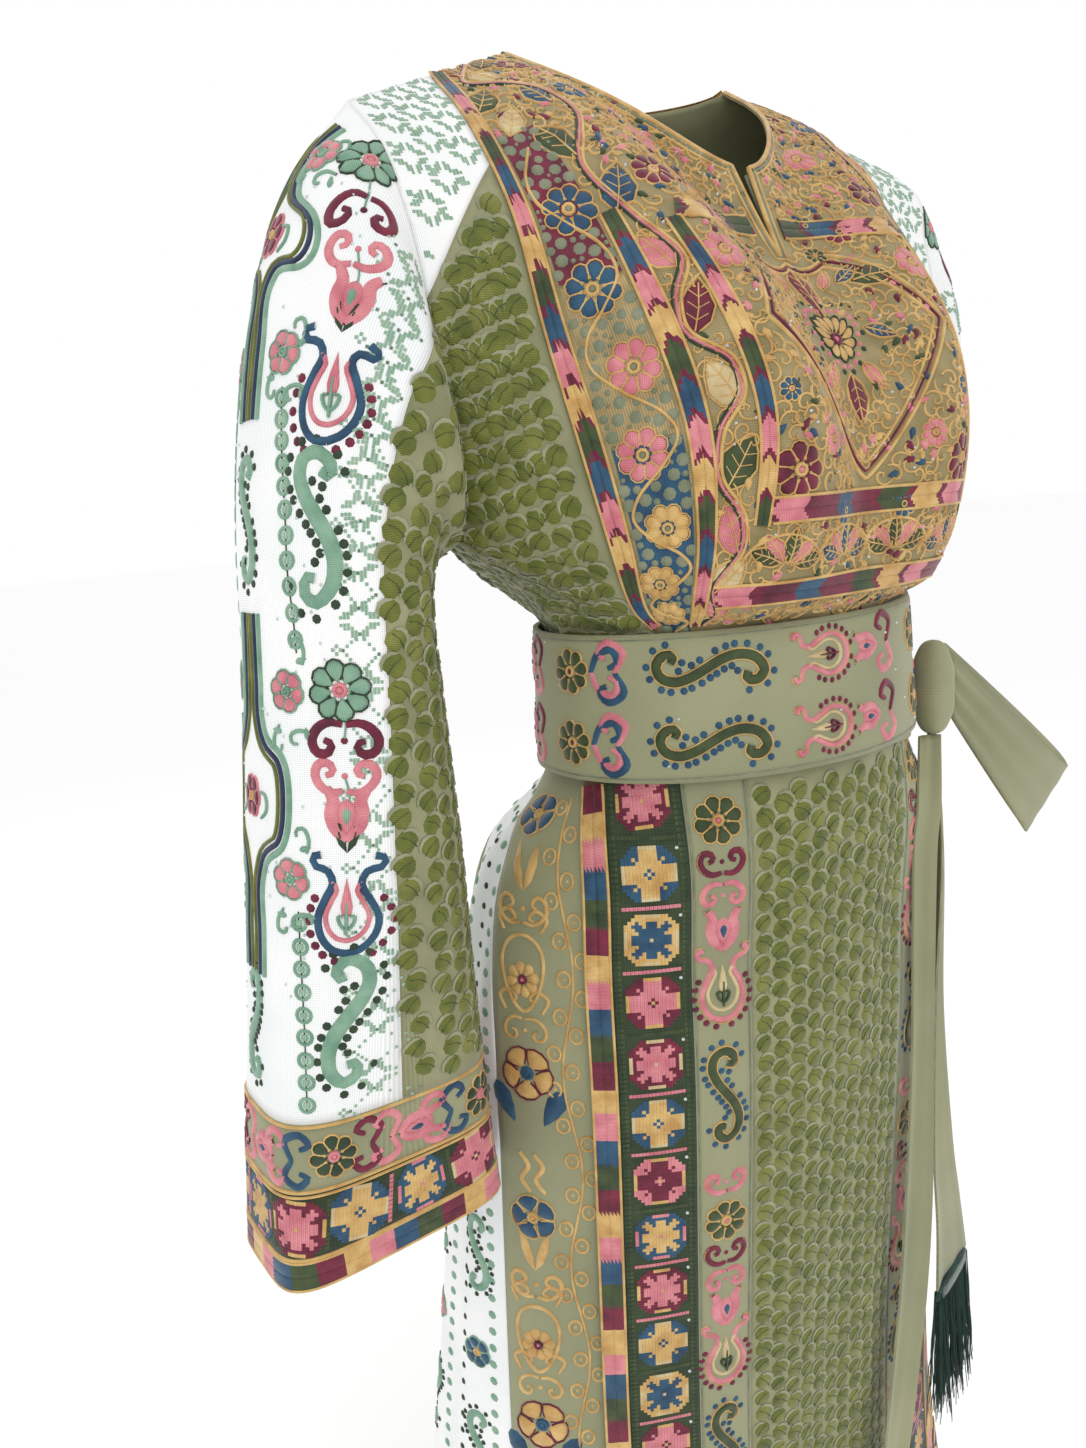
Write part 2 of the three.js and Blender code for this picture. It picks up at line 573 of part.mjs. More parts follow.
// How far a point of the bodice is from the neck edge, which is alike on both sides.
function fromNeckEdge(point) {
  const place = new THREE.Vector3(Math.abs(point.x), point.y, point.z);
  const nearest = new THREE.Vector3();
  return Math.min(...neckEdge.slice(1).map((end, i) => (
    new THREE.Line3(neckEdge[i], end).closestPointToPoint(place, true, nearest).distanceTo(place)
  )));
}
const chestNormals = (across, level) => {
  const step = 0.02;
  const right = onChest(across + step, level).sub(onChest(across - step, level));
  const down = onChest(across, level + step).sub(onChest(across, Math.max(0, level - step)));
  return down.cross(right).normalize();
};
// A ribbon on the chest panel: rows of [across, level] pairs, made from the panel's points.
function ribbon(name, rows) {
  const normals = new Map();
  const grid = rows.map((row) => row.map(([across, level]) => {
    const point = onChest(across, level);
    normals.set(pointKey(point), chestNormals(across, level));
    return point;
  }));
  const options = { thick: TRIM, lift: LAID + TRIM, normals };
  trims.push({ name, colour: 'ribbon', sheet: surface([grid]), options });
}
const levelsFrom = (first, last) => {
  const inner = rowsBetween(0, LAST_ROW).map(besideNeck).filter((v) => v > first && v < last);
  return [first, ...inner, last];
};
function uprightRibbons(name, [inner, outer], first, last) {
  for (const [side, sign] of [['right', -1], ['left', 1]]) {
    const pair = sign < 0 ? [-outer, -inner] : [inner, outer];
    ribbon(`${name}_${side}`, levelsFrom(first, last).map((level) => pair.map((across) => [across, level])));
  }
}

// What follows no column is cut out of the panels' own triangles, so it lies flat on them.
function mark(point, across, row) {
  const onSeam = row === 0 && Math.abs(point.x) > NECK_HALF;
  const far = onSeam ? Math.abs(point.x) - NECK_HALF : fromNeckEdge(point);
  return { point, across, way: wayAt(point), far };
}
function clip(polygon, kept) {
  return polygon.flatMap((a, i) => {
    const b = polygon[(i + 1) % polygon.length];
    const [first, second] = kept(a) >= 0 ? [a, b] : [b, a];
    const start = kept(a) >= 0 ? [a] : [];
    if (kept(a) * kept(b) >= 0) return start;
    const share = kept(first) / (kept(first) - kept(second));
    return [...start, {
      across: lerp(first.across, second.across, share),
      far: lerp(first.far, second.far, share),
      point: blend(first.point, second.point, share),
      way: blend(first.way, second.way, share),
    }];
  });
}
function cutOut(name, colour, triangles, limits, options) {
  const normals = new Map();
  const shapes = triangles.map((triangle) => limits.reduce(clip, triangle));
  shapes.flat().forEach(({ point, way }) => normals.set(pointKey(point), way));
  const parts = shapes.flatMap((shape) => (
    shape.slice(2).map((_, i) => [shape[0].point, shape[i + 1].point, shape[i + 2].point])
  ));
  trims.push({ name, colour, sheet: joined(parts), options: { ...options, normals } });
}
const markedChest = chestGrid.map((points, row) => {
  const left = [slitAt(row), ...chestColumns];
  const across = [...left.map((c) => -c).reverse(), ...left];
  return points.map((point, i) => mark(point, across[i], row));
});
const chestTriangles = cells(markedChest, inSlit);
const markedBack = backGrid.map((points, row) => points.map((point) => mark(point, 0, row)));
function levelRibbon(name, from, to, top, bottom) {
  const sides = [(p) => p.across - from, (p) => to - p.across];
  const ends = [(p) => top - p.point.z, (p) => p.point.z - bottom];
  cutOut(name, 'ribbon', chestTriangles, [...sides, ...ends], { thick: TRIM, lift: LAID + TRIM });
}
const RIBBON_END = 6.8; // just above the belt
const INNER_FRAME = { top: 2.3, bottom: -284 };
uprightRibbons('ribbon_outer', OUTER_RIBBON, 0, RIBBON_END);
uprightRibbons('ribbon_second', SECOND_RIBBON, 2.2, RIBBON_END);
const innerEnd = levelAtHeight(INNER_RIBBON[0], INNER_FRAME.bottom);
uprightRibbons('ribbon_inner', INNER_RIBBON, INNER_FRAME.top, innerEnd);
levelRibbon('ribbon_upper_right', -0.368, -0.045, -114, -127);
levelRibbon('ribbon_upper_left', 0.045, 0.368, -114, -127);
levelRibbon('ribbon_middle', -0.37, 0.37, -270, -284);
levelRibbon('ribbon_lower', -0.456, 0.456, -314, -327);

// Neck edge: a narrow binding all round it, and a facing behind the slit.
const within = (width) => [(p) => width - p.far];
const neckTriangles = [...chestTriangles, ...cells(markedBack)];
cutOut('neck_binding', 'ribbon', neckTriangles, within(NECK_BINDING), { thick: TRIM, lift: LAID + TRIM });
const besideSlit = [(p) => p.across + FACED, (p) => FACED - p.across];
const facing = [...within(NECK_FACING), ...besideSlit];
cutOut('neck_facing', 'sage', chestTriangles, facing, { thick: FACING_CLOTH, lift: -CLOTH - 2 * LAID });

// ---------------------------------------------------------------- belt, knot, bow and tails
const belted = [];
function band(name, colour, grid, thick) {
  const sheet = surface([grid]);
  const normals = new Map();
  addNormals(normals, sheet);
  belted.push({ name, colour, sheet, options: { thick, normals } });
}
const BELT_WIDE = 132.7;
const BELT_DEEP = 102.7;
const BELT_FLARE = 4; // how much wider the lower edge is
function beltPoint(angle, z, out) {
  const flare = (BELT_FLARE * (BELT_TOP - z)) / BELT_HEIGHT + out;
  const y = WAIST_Y - (BELT_DEEP + flare) * Math.cos(angle);
  return new THREE.Vector3((BELT_WIDE + flare) * Math.sin(angle), y, z);
}
const beltHeights = steps(BELT_TOP, BELT_TOP - BELT_HEIGHT, 2);
const beltAngles = steps(-Math.PI, Math.PI, 48);
band('belt', 'sage', gridOf(beltHeights, beltAngles, (angle, z) => beltPoint(angle, z, 0)), BELT_CLOTH);

const UNDER_WRAP = { from: 8 * RADIAN, to: 84 * RADIAN, top: -396, drop: 9 };
const wrapAngles = steps(UNDER_WRAP.from, UNDER_WRAP.to, 10);
const wrapPoint = (angle, down) => {
  const share = smooth(clamp((angle - UNDER_WRAP.from) / (50 * RADIAN), 0, 1));
  const bottom = BELT_TOP - BELT_HEIGHT - 1 - UNDER_WRAP.drop * share;
  return beltPoint(angle, lerp(UNDER_WRAP.top, bottom, down), -BELT_CLOTH - LAID - 0.3);
};
band('belt_under_wrap', 'sage', gridOf([0, 0.5, 1], wrapAngles, wrapPoint), 1.2);

// The knot: a rounded lump of wrapped cloth beside the belt, on the wearer's left.
const KNOT = { centre: [122.9, -119.1, -407], half: [13, 13, 32] };
function roundedLump({ centre, half }) {
  const geometry = new THREE.SphereGeometry(1, 16, 10);
  const position = geometry.attributes.position;
  for (let i = 0; i < position.count; i += 1) {
    const [x, z, y] = [position.getX(i), position.getY(i), position.getZ(i)].map((n) => spread(n, 2.6));
    position.setXYZ(i, centre[0] + x * half[0], centre[1] - y * half[1], centre[2] + z * half[2]);
  }
  return geometry;
}

// The bow's loop: one band that runs out from the knot, turns at its tip and comes back behind.
const LOOP = {
  root: [136.9, -120, -404],
  tip: [250, -121, -508],
  rootWidth: [0, 0, -44],
  tipWidth: [-58, -2, -38],
  apart: [4.5, 13.5, 10],
};
const loopPoint = (round, across) => {
  const out = 1 - Math.abs(2 * round - 1);
  const reach = Math.sin((Math.min(1, out * 1.02) * Math.PI) / 2);
  const open = (round < 0.5 ? -1 : 1) * Math.sin(Math.PI * Math.min(1, 0.06 + out * 0.94)) ** 0.8;
  return vector(LOOP.root.map((root, i) => {
    const width = lerp(LOOP.rootWidth[i], LOOP.tipWidth[i], reach);
    return lerp(root, LOOP.tip[i], reach) + LOOP.apart[i] * open + width * across;
  }));
};
const loopRounds = steps(0, 1, 22);
band('bow_loop', 'sage', gridOf([-0.5, 0, 0.5], loopRounds, loopPoint), CLOTH);

// The tails: each row gives the middle of the band, half its width as a vector, and its hollow.
const tailRows = {
  long: [
    { at: [116, -122, -438.4], half: [6, -4, 0], hollow: 2 },
    { at: [92, -139, -480], half: [8, -3, 0], hollow: 3 },
    { at: [87, -139, -516], half: [8, -3, 0], hollow: 3 },
    { at: [84, -138, -645], half: [9, -2, 0], hollow: 3 },
    { at: [82, -135, -762], half: [12, -2, 0], hollow: 4 },
    { at: [75, -134, -845], half: [14, -1, 0], hollow: 4 },
    { at: [58, -136, -929], half: [15, 0, 0], hollow: 4 },
    { at: [46, -138, -990], half: [16, 2, 0], hollow: 4 },
    { at: [38, -142, -1100], half: [18, 3, 0], hollow: 3 },
  ],
  short: [
    { at: [127.5, -116, -439.2], half: [4, 5, 0], hollow: 2 },
    { at: [124, -126, -520], half: [7, 5, 0], hollow: 3 },
    { at: [124, -122, -640], half: [11, 5, 0], hollow: 4 },
    { at: [134, -117, -755], half: [17, 5, 0], hollow: 5 },
    { at: [141, -116, -815], half: [24, 8, 0], hollow: 4 },
    { at: [146, -115, -868], half: [30, 9, 0], hollow: 2 },
  ],
};
const tailShares = { long: [0, 0.5, 1, 2, 3, 4, 5, 6, 7, 8], short: [0, 0.5, 1, 1.5, 2, 2.5, 3, 4, 5] };
function tailPoint(rows, across, down) {
  const knots = rows.map((_, i) => i);
  const values = rows.map((row) => [...row.at, ...row.half, row.hollow]);
  const [x, y, z, halfX, halfY, , hollow] = curve(knots, values, down);
  const size = Math.hypot(halfX, halfY);
  const dip = hollow * (1 - across * across);
  const shift = [-(halfY / size) * dip, (halfX / size) * dip];
  return new THREE.Vector3(x + halfX * across + shift[0], y + halfY * across + shift[1], z);
}
for (const name of ['long', 'short']) {
  const point = (across, down) => tailPoint(tailRows[name], across, down);
  const grid = gridOf(tailShares[name], steps(-1, 1, 4), point);
  band(`tail_${name}`, 'sage', grid, CLOTH);
}

// ---------------------------------------------------------------- tassels
const wasm = await Module();
wasm.setup();
const STRANDS = 22;
const STRAND_HALF = 1.1;
const STRAND_LENGTH = 118;
const HEAD = { high: 9, half: 3.2 };

// A closed prism along a list of points, with a three-sided or four-sided section.
function prism(path, sections) {
  const sides = sections[0].length;
  const vertices = sections.flatMap((section, i) => {
    const [px, py, pz] = path[i];
    return section.flatMap(([x, y]) => [px + x, py + y, pz]);
  });
  const triangles = [];
  for (let i = 0; i < path.length - 1; i += 1) {
    for (let k = 0; k < sides; k += 1) {
      const a = i * sides + k;
      const b = i * sides + ((k + 1) % sides);
      triangles.push(a, a + sides, b);
      triangles.push(b, a + sides, b + sides);
    }
  }
  const end = (path.length - 1) * sides;
  for (let k = 1; k < sides - 1; k += 1) {
    triangles.push(0, k, k + 1);
    triangles.push(end, end + k + 1, end + k);
  }
  const mesh = new wasm.Mesh({
    numProp: 3,
    vertProperties: new Float32Array(vertices),
    triVerts: new Uint32Array(triangles),
  });
  return new wasm.Manifold(mesh);
}

// A tassel under the end of a tail: a flat head with strands fused into it.
function tassel(rows) {
  const end = rows[rows.length - 1];
  const half = end.half;
  const size = Math.hypot(half[0], half[1]);
  const wayX = half[0] / size;
  const wayY = half[1] / size;
  const top = end.at[2] - 0.4;
  const middleX = end.at[0] - (wayY * end.hollow) / 2;
  const middleY = end.at[1] + (wayX * end.hollow) / 2;
  const box = [[-1, -1], [1, -1], [1, 1], [-1, 1]].map(([a, b]) => [
    wayX * size * a - wayY * HEAD.half * b,
    wayY * size * a + wayX * HEAD.half * b,
  ]);
  let body = prism([[middleX, middleY, top], [middleX, middleY, top - HEAD.high]], [box, box]);
  for (let i = 0; i < STRANDS; i += 1) {
    const share = (i + 0.5) / STRANDS;
    const across = (share * 2 - 1) * 0.92 * size;
    const depth = (i % 2 ? 1 : -1) * HEAD.half * 0.5;
    const long = STRAND_LENGTH * (0.78 + 0.22 * Math.sin(i * 2.4) ** 2);
    const path = steps(0, 1, 4).map((down) => {
      const sway = 4 * Math.sin(down * 3 + i * 1.7) * down;
      const flare = across * (1 + 0.22 * down) + sway;
      const lean = depth * (1 + 2.4 * down) + 3 * Math.cos(i * 2.1) * down;
      const z = top - HEAD.high + 3 - long * down;
      return [middleX + wayX * flare - wayY * lean, middleY + wayY * flare + wayX * lean, z];
    });
    const three = [0, 1, 2].map((k) => {
      const turn = (k * 2 * Math.PI) / 3 + i;
      return [STRAND_HALF * Math.cos(turn), STRAND_HALF * Math.sin(turn)];
    });
    body = body.add(prism(path, path.map(() => three)));
  }
  const { vertProperties, triVerts } = body.getMesh();
  const geometry = new THREE.BufferGeometry();
  geometry.setAttribute('position', new THREE.BufferAttribute(new Float32Array(vertProperties), 3));
  geometry.setIndex([...triVerts]);
  geometry.computeVertexNormals();
  return geometry;
}

// ---------------------------------------------------------------- the whole object
const group = new THREE.Group();
function add(name, geometry, colour) {
  const mesh = new THREE.Mesh(geometry, finish(colours[colour]));
  mesh.name = name;
  group.add(mesh);
}
for (const { name, colour, sheet } of dress) add(name, wall(sheet, {}), colour);
for (const { name, colour, sheet, options } of [...trims, ...belted]) {
  add(name, wall(sheet, options), colour);
}
add('knot', roundedLump(KNOT), 'sage');
add('tassel_long', tassel(tailRows.long), 'tassel');
add('tassel_short', tassel(tailRows.short), 'tassel');

export default group;
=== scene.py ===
# %% [markdown]
# # An embroidered thobe with its own belt
#
# A long embroidered dress, as the wearer fills it. Nobody is in it: each panel is a thin wall of cloth
# and the inside is empty. The frame is the wearer's own: +Z up, the front is -Y, and the wearer's right is
# -X. Lengths are millimetres until a mesh is made, because that is how a dress is cut.
#
# Three ways lead to a dress. Cloth simulation gives true creases but moves seams off their places, sculpting
# gives form without measure, and charted surfaces keep each seam where the pattern says. The last is used
# here, because the embroidery has to be laid on the cloth afterwards and needs an address for each stitch.

# %% The tools and the frame
import math

import bpy
import numpy as np
from mathutils import Matrix


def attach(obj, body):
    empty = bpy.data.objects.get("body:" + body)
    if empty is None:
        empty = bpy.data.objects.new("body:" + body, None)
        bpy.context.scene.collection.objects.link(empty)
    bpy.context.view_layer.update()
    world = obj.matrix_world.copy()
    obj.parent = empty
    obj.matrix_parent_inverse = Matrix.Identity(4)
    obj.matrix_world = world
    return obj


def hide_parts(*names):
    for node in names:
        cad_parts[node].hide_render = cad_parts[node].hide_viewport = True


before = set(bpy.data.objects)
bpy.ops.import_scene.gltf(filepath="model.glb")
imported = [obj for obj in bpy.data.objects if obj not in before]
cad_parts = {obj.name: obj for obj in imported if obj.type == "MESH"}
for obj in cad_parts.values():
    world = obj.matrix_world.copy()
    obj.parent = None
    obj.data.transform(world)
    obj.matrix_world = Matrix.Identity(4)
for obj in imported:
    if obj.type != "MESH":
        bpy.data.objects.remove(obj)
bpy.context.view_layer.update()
rng = np.random.default_rng(20)
print("nodes", len(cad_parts))

# %% [markdown]
# ## The form of the dress
#
# The form is a table of a few dozen points, and a smooth curve runs through each row and column.
# A cubic Hermite curve is used because it passes through its points and never overshoots far.

# %% A smooth curve through values


def lerp(a, b, t):
    return a + (b - a) * t


def smooth(t):
    t = np.clip(t, 0, 1)
    return t * t * (3 - 2 * t)


def curve(knots, values, at):
    knots, values, at = np.asarray(knots, float), np.asarray(values, float), np.asarray(at, float)
    spans = (-1,) + (1,) * (values.ndim - 1)
    gap = np.diff(knots)
    slope = np.diff(values, axis=0) / gap.reshape(spans)
    before, after = gap[:-1].reshape(spans), gap[1:].reshape(spans)
    tangent = np.concatenate(
        [slope[:1], (slope[:-1] * after + slope[1:] * before) / (before + after), slope[-1:]]
    )
    i = np.clip(np.searchsorted(knots, at, side="right") - 1, 0, len(knots) - 2)
    own = (lambda m, k: m[k]) if values.ndim == 2 else (lambda m, k: m[k, np.arange(len(k))])
    t = ((at - knots[i]) / gap[i])[:, None]
    rise = (t**3 - 2 * t**2 + t) * own(tangent, i) + (t**3 - t**2) * own(tangent, i + 1)
    ends = (2 * t**3 - 3 * t**2 + 1) * own(values, i) + (3 * t**2 - 2 * t**3) * own(values, i + 1)
    return ends + rise * gap[i][:, None]


# %% The bodice: one row for each level from the shoulder seam (0) to the waist seam (8)
NECK_POINT = np.array([89.0, 21.0, 0.0])
SHOULDER_TIP = np.array([216.0, -20.0, -53.0])
FRONT_DIP, BACK_DIP = 0.41, 0.3  # how far down the neckline is cut
FRONT_LEVELS = np.array([
    [[0, -64, -46], NECK_POINT, [165, -6, -34], SHOULDER_TIP],
    [[0, -108, -134], [86, -50, -46], [162, -48, -66], [217, -52, -82]],
    [[0, -146, -183], [80, -112, -108], [159, -78, -118], [213, -70, -130]],
    [[0, -164, -225], [73, -164, -176], [156, -94, -178], [208, -72, -190]],
    [[0, -168, -265], [68, -182, -230], [149, -108, -238], [203, -62, -245]],
    [[0, -167, -300], [70, -174, -285], [139, -114, -288], [196, -50, -280]],
    [[0, -163, -326], [72, -156, -324], [121, -106, -322], [156, -50, -308]],
    [[0, -149, -340], [70, -132, -340], [104, -105, -340], [129, -50, -340]],
    [[0, -145, -366], [63, -132, -366], [97, -110, -366], [125, -50, -366]],
], float)
BACK_LEVELS = np.array([
    [[0, 56, 4], NECK_POINT, [165, -6, -34], SHOULDER_TIP],
    [[0, 78, -50], [88, 62, -40], [162, 32, -62], [215, 6, -80]],
    [[0, 84, -105], [84, 78, -105], [156, 56, -118], [210, 22, -130]],
    [[0, 84, -165], [82, 80, -170], [152, 62, -178], [206, 30, -190]],
    [[0, 80, -225], [80, 77, -230], [148, 56, -238], [202, 18, -245]],
    [[0, 74, -285], [78, 70, -285], [142, 40, -288], [196, -50, -280]],
    [[0, 64, -326], [76, 52, -324], [121, 10, -322], [156, -50, -308]],
    [[0, 49, -340], [66, 35, -340], [104, 5, -340], [129, -50, -340]],
    [[0, 45, -366], [63, 32, -366], [97, 10, -366], [125, -50, -366]],
], float)
ACROSS = [-1, -2 / 3, -1 / 3, 0, 1 / 3, 2 / 3, 1]
EDGE = 2 / 3  # outer edge of the chest panel


def drawn_back(p):
    """The left arm is carried back and takes that side of the bodice with it."""
    share = (p[:, 0] - 100) / (SHOULDER_TIP[0] - 100)
    below = SHOULDER_TIP[2] * (p[:, 0] - NECK_POINT[0]) / (SHOULDER_TIP[0] - NECK_POINT[0]) - p[:, 2]
    part = smooth(share) * smooth(below / 60) * smooth((p[:, 2] + 335) / 60)
    return p + np.stack([0 * part, 16 * part, 0 * part], 1)


def top_edge(half, centre):
    share = np.minimum(1, half * 3)[:, None]
    over = np.concatenate([NECK_POINT[0] * share, lerp(centre[1:], NECK_POINT[1:], share**3)], 1)
    seam = lerp(NECK_POINT, SHOULDER_TIP, (half[:, None] - 1 / 3) * 1.5)
    return np.where(share < 1, over, seam)


def bodice(levels, across, level):
    half = np.abs(across)
    mirror = levels[:, :0:-1] * [-1, 1, 1]
    rows = np.concatenate([mirror, levels], 1)
    low = [curve(ACROSS, row, half) for row in rows[1:]]
    point = curve(range(9), np.stack([top_edge(half, levels[0, 0]), *low]), level)
    seam = curve([5, 6, 7, 8], levels[5:, 3], np.clip(level, 5, 8)) - curve(range(9), levels[:, 3], level)
    point += np.where(level > 5, smooth((half - 0.8) / 0.2), 0)[:, None] * seam
    return np.where((across < 0)[:, None], point * [-1, 1, 1], drawn_back(point))


def level_of(row, across, dip):
    """Rows count 0-5 to the end of the white shoulder cloth, 5-11 to the underarm, 11-16 to the waist."""
    half = np.abs(across)
    end = lerp(1.5, 2.5, np.clip((half - EDGE) * 3, 0, 1))
    start = dip * np.sqrt(1 - np.minimum(1, half * 3) ** 2)
    low = np.interp(row, range(11, 17), [5, 5.5, 6, 6.5, 7, 8])
    upper = np.where(row <= 5, lerp(start, end, row / 5), lerp(end, 5, (row - 5) / 6))
    return np.where(row <= 11, upper, low)


# %% The sleeves: one row for each ring from the armhole (0) to the hem (9)
# Outer end, inner end, half depth, how boxy; then how far the left arm goes back and comes close.
SLEEVE = np.array([
    [-216, -20, -53, -196, -50, -280, 64, 2.0, 0, 0],
    [-247, -20, -88, -203, -48, -284, 66, 2.0, 14, 0],
    [-272, -24, -135, -211, -46, -288, 66, 2.0, 42, 6],
    [-290, -27, -195, -218, -45, -295, 64, 2.1, 80, 18],
    [-302, -28, -265, -222, -44, -312, 61, 2.2, 114, 30],
    [-311, -28, -350, -218, -42, -360, 57, 2.2, 142, 37],
    [-322, -26, -440, -214, -40, -445, 52, 2.4, 166, 38],
    [-331, -24, -520, -212, -34, -522, 49, 2.8, 188, 36],
    [-340, -20, -600, -209, -27, -598, 46, 3.6, 206, 32],
    [-346, -18, -672, -206, -22, -664, 43, 5.0, 222, 28],
], float)


def sleeve_ring(ring, turn):
    outer, inner, depth, square = ring[:3], ring[3:6], ring[6], ring[7]
    along = np.sign(np.cos(np.pi * turn)) * np.abs(np.cos(np.pi * turn)) ** (2 / square)
    fore = np.sign(np.sin(np.pi * turn)) * np.abs(np.sin(np.pi * turn)) ** (2 / square)
    return lerp(outer, inner, ((1 - along) / 2)[:, None]) - np.outer(fore, [0, depth, 0])


def sleeve(turns, down, swing):
    """turns: 0 outside the arm, 0.5 in front, 1 at the underarm, 1.5 behind."""
    turn = turns % 2
    side = np.full_like(turn, -1.0)
    armhole = np.where(
        (turn <= 1)[:, None],
        bodice(FRONT_LEVELS, side, np.minimum(turn, 1) * 5),
        bodice(BACK_LEVELS, side, np.clip(2 - turn, 0, 1) * 5),
    )
    rings = np.stack([armhole] + [sleeve_ring(ring, turn) for ring in SLEEVE[1:]])
    rings = rings + swing * np.stack([SLEEVE[:, 9], SLEEVE[:, 8], 0 * SLEEVE[:, 8]], 1)[:, None]
    return curve(range(10), rings, down)


# %% The skirt: height, half width, half depth and centre of each ring
SKIRT = np.array([
    [-366, 125, 95, -50], [-400, 127, 97, -50], [-434, 131, 101, -49], [-475, 166, 116, -33],
    [-540, 184, 124, -19], [-615, 193, 131, -9], [-740, 205, 135, 4], [-870, 218, 139, 17],
    [-1010, 236, 147, 29], [-1200, 264, 165, 39], [-1400, 298, 190, 46],
], float)
WAIST_SEAM, HEM = -366, -1400
# Folds: degrees from the front, half width in degrees, depth at the hem and under the belt, start.
FOLDS = [
    (10, 6, 5, 2, -440), (27, 5, 3, 1, -460), (88, 7, 12, 3, -440), (106, 7, 18, 6, -436),
    (124, 7, 20, 7, -436), (142, 7, 18, 6, -436), (160, 7, 16, 6, -436), (180, 8, 16, 6, -436),
]


def skirt_angle(angle, z, sink=0):
    wide, deep, centre = curve(-SKIRT[:, 0], SKIRT[:, 1:], -z).T
    out = -sink + np.zeros_like(z)
    for at, half, hem, belt, start in FOLDS:
        size = smooth((start - z) / 30) * lerp(belt, hem, np.clip((start - z) / (start - HEM), 0, 1))
        away = (np.abs(np.degrees(angle)) - at) / half
        out = out + size * (np.exp(-(away**2)) - 0.45 * np.exp(-((away / 2.5) ** 2)))
    side, fore = np.sin(angle), np.cos(angle)
    size = np.hypot(side * deep, fore * wide)
    x = wide * side + out * side * deep / size
    return np.stack([x, centre - deep * fore - out * fore * wide / size, z], 1)


def degree_lengths(z):
    """How long each degree of half a ring is, at each height."""
    wide, deep = curve(-SKIRT[:, 0], SKIRT[:, 1:3], -z).T
    middle = np.radians(np.arange(180) + 0.5)
    return np.hypot(np.outer(wide, np.cos(middle)), np.outer(deep, np.sin(middle))) * np.pi / 180


def half_round(z):
    return degree_lengths(np.ravel(z)).sum(1).reshape(np.shape(z))


def skirt(length, z, sink=0):
    """A point so many millimetres round from the centre front, at height z."""
    step = degree_lengths(z)
    lengths = np.concatenate([np.zeros((len(z), 1)), np.cumsum(step, 1)], 1)
    half = lengths[:, -1]
    past = np.abs(length) > half
    target = np.where(past, 2 * half - np.abs(length), np.abs(length))
    degree = np.clip((lengths[:, 1:] < target[:, None]).sum(1), 0, 179)
    own = np.arange(len(z))
    part = (target - lengths[own, degree]) / step[own, degree]
    angle = np.sign(length) * (degree + part) * np.pi / 180
    return skirt_angle(np.where(past, -angle, angle), z, sink)

# %% [markdown]
# ## A chart of each cloth
#
# A cloth is sampled once on a fine grid, with the way out of its face at each point. Creases are soft
# ridges pressed along short lines, which costs nothing and stays where the arm or belt puts them. Anything
# laid on the cloth later asks this chart for its place, so it can't float or sink.

# %% The chart


def unit(v):
    return v / np.maximum(np.linalg.norm(v, axis=-1, keepdims=True), 1e-9)


def run_of(points):
    """How far along a line each of its points is."""
    return np.concatenate([[0], np.cumsum(np.linalg.norm(np.diff(points, axis=0), axis=1))])


def circle(count, radius=1.0, closed=False):
    turn = np.arange(count + closed) * 2 * np.pi / count
    return np.stack([np.cos(turn), np.sin(turn)], 1) * radius


def rotation(angle):
    c, s = math.cos(angle), math.sin(angle)
    return np.array([[c, s], [-s, c]])


class Cloth:
    def __init__(self, us, vs, point, creases=(), flip=1):
        self.us, self.vs = np.asarray(us, float), np.asarray(vs, float)
        self.downward = np.sign(self.vs[-1] - self.vs[0])  # -1 where the chart counts height
        self.flip = flip * self.downward * np.sign(self.us[-1] - self.us[0])
        u, v = np.meshgrid(self.us, self.vs)
        self.points = point(u.ravel(), v.ravel()).reshape(*u.shape, 3)
        self.measure()
        depth = sum((self.crease(*crease) for crease in creases), np.zeros(u.shape))
        self.points = self.points + self.out * depth[..., None]
        self.measure()

    def measure(self):
        self.across = np.gradient(self.points, self.us, axis=1)
        self.down = np.gradient(self.points, self.vs, axis=0)
        self.out = unit(np.cross(self.down, self.across)) * self.flip
        self.fields = np.concatenate([self.points, self.out, self.across, self.down], 2)

    def crease(self, u0, v0, u1, v1, width, depth):
        i = [np.abs(self.us - u).argmin() for u in (u0, u1)]
        j = [np.abs(self.vs - v).argmin() for v in (v0, v1)]
        a, b = self.points[j[0], i[0]], self.points[j[1], i[1]]
        t = ((self.points - a) @ (b - a)) / ((b - a) @ (b - a))
        away = np.linalg.norm(self.points - a - np.clip(t, 0, 1)[..., None] * (b - a), axis=2)
        return depth * np.exp(-((away / width) ** 2)) * np.sin(np.pi * np.clip(t, 0.03, 0.97)) ** 0.5

    @staticmethod
    def index(at, ticks):
        way = np.sign(ticks[-1] - ticks[0])
        return np.clip(np.interp(at * way, ticks * way, np.arange(len(ticks))), 0, len(ticks) - 1.001)

    def look(self, u, v):
        u, v = np.broadcast_arrays(np.asarray(u, float), np.asarray(v, float))
        x, y = self.index(u, self.us), self.index(v, self.vs)
        i, j = x.astype(int), y.astype(int)
        s, t = (x - i)[..., None], (y - j)[..., None]
        f = self.fields
        top = lerp(f[j, i], f[j, i + 1], s)
        return lerp(top, lerp(f[j + 1, i], f[j + 1, i + 1], s), t)

    def lay(self, u, v, height=0):
        found = self.look(u, v)
        out = unit(found[..., 3:6])
        return found[..., :3] + out * np.asarray(height, float)[..., None], out

    def chart(self, place, xy, turn=0, scale=1):
        """Local millimetres (right, up) round a place, as chart directions."""
        found = self.look(*place)
        out, across, down = unit(found[3:6]), found[6:9], found[9:]
        up = -unit(down - out * (down @ out)) * self.downward
        right = np.cross(up, out)
        xy = np.asarray(xy, float) @ rotation(turn) * scale
        moved = np.outer(xy[:, 0], right) + np.outer(xy[:, 1], up)
        return np.linalg.lstsq(np.stack([across, down], 1), moved.T, rcond=None)[0].T + place


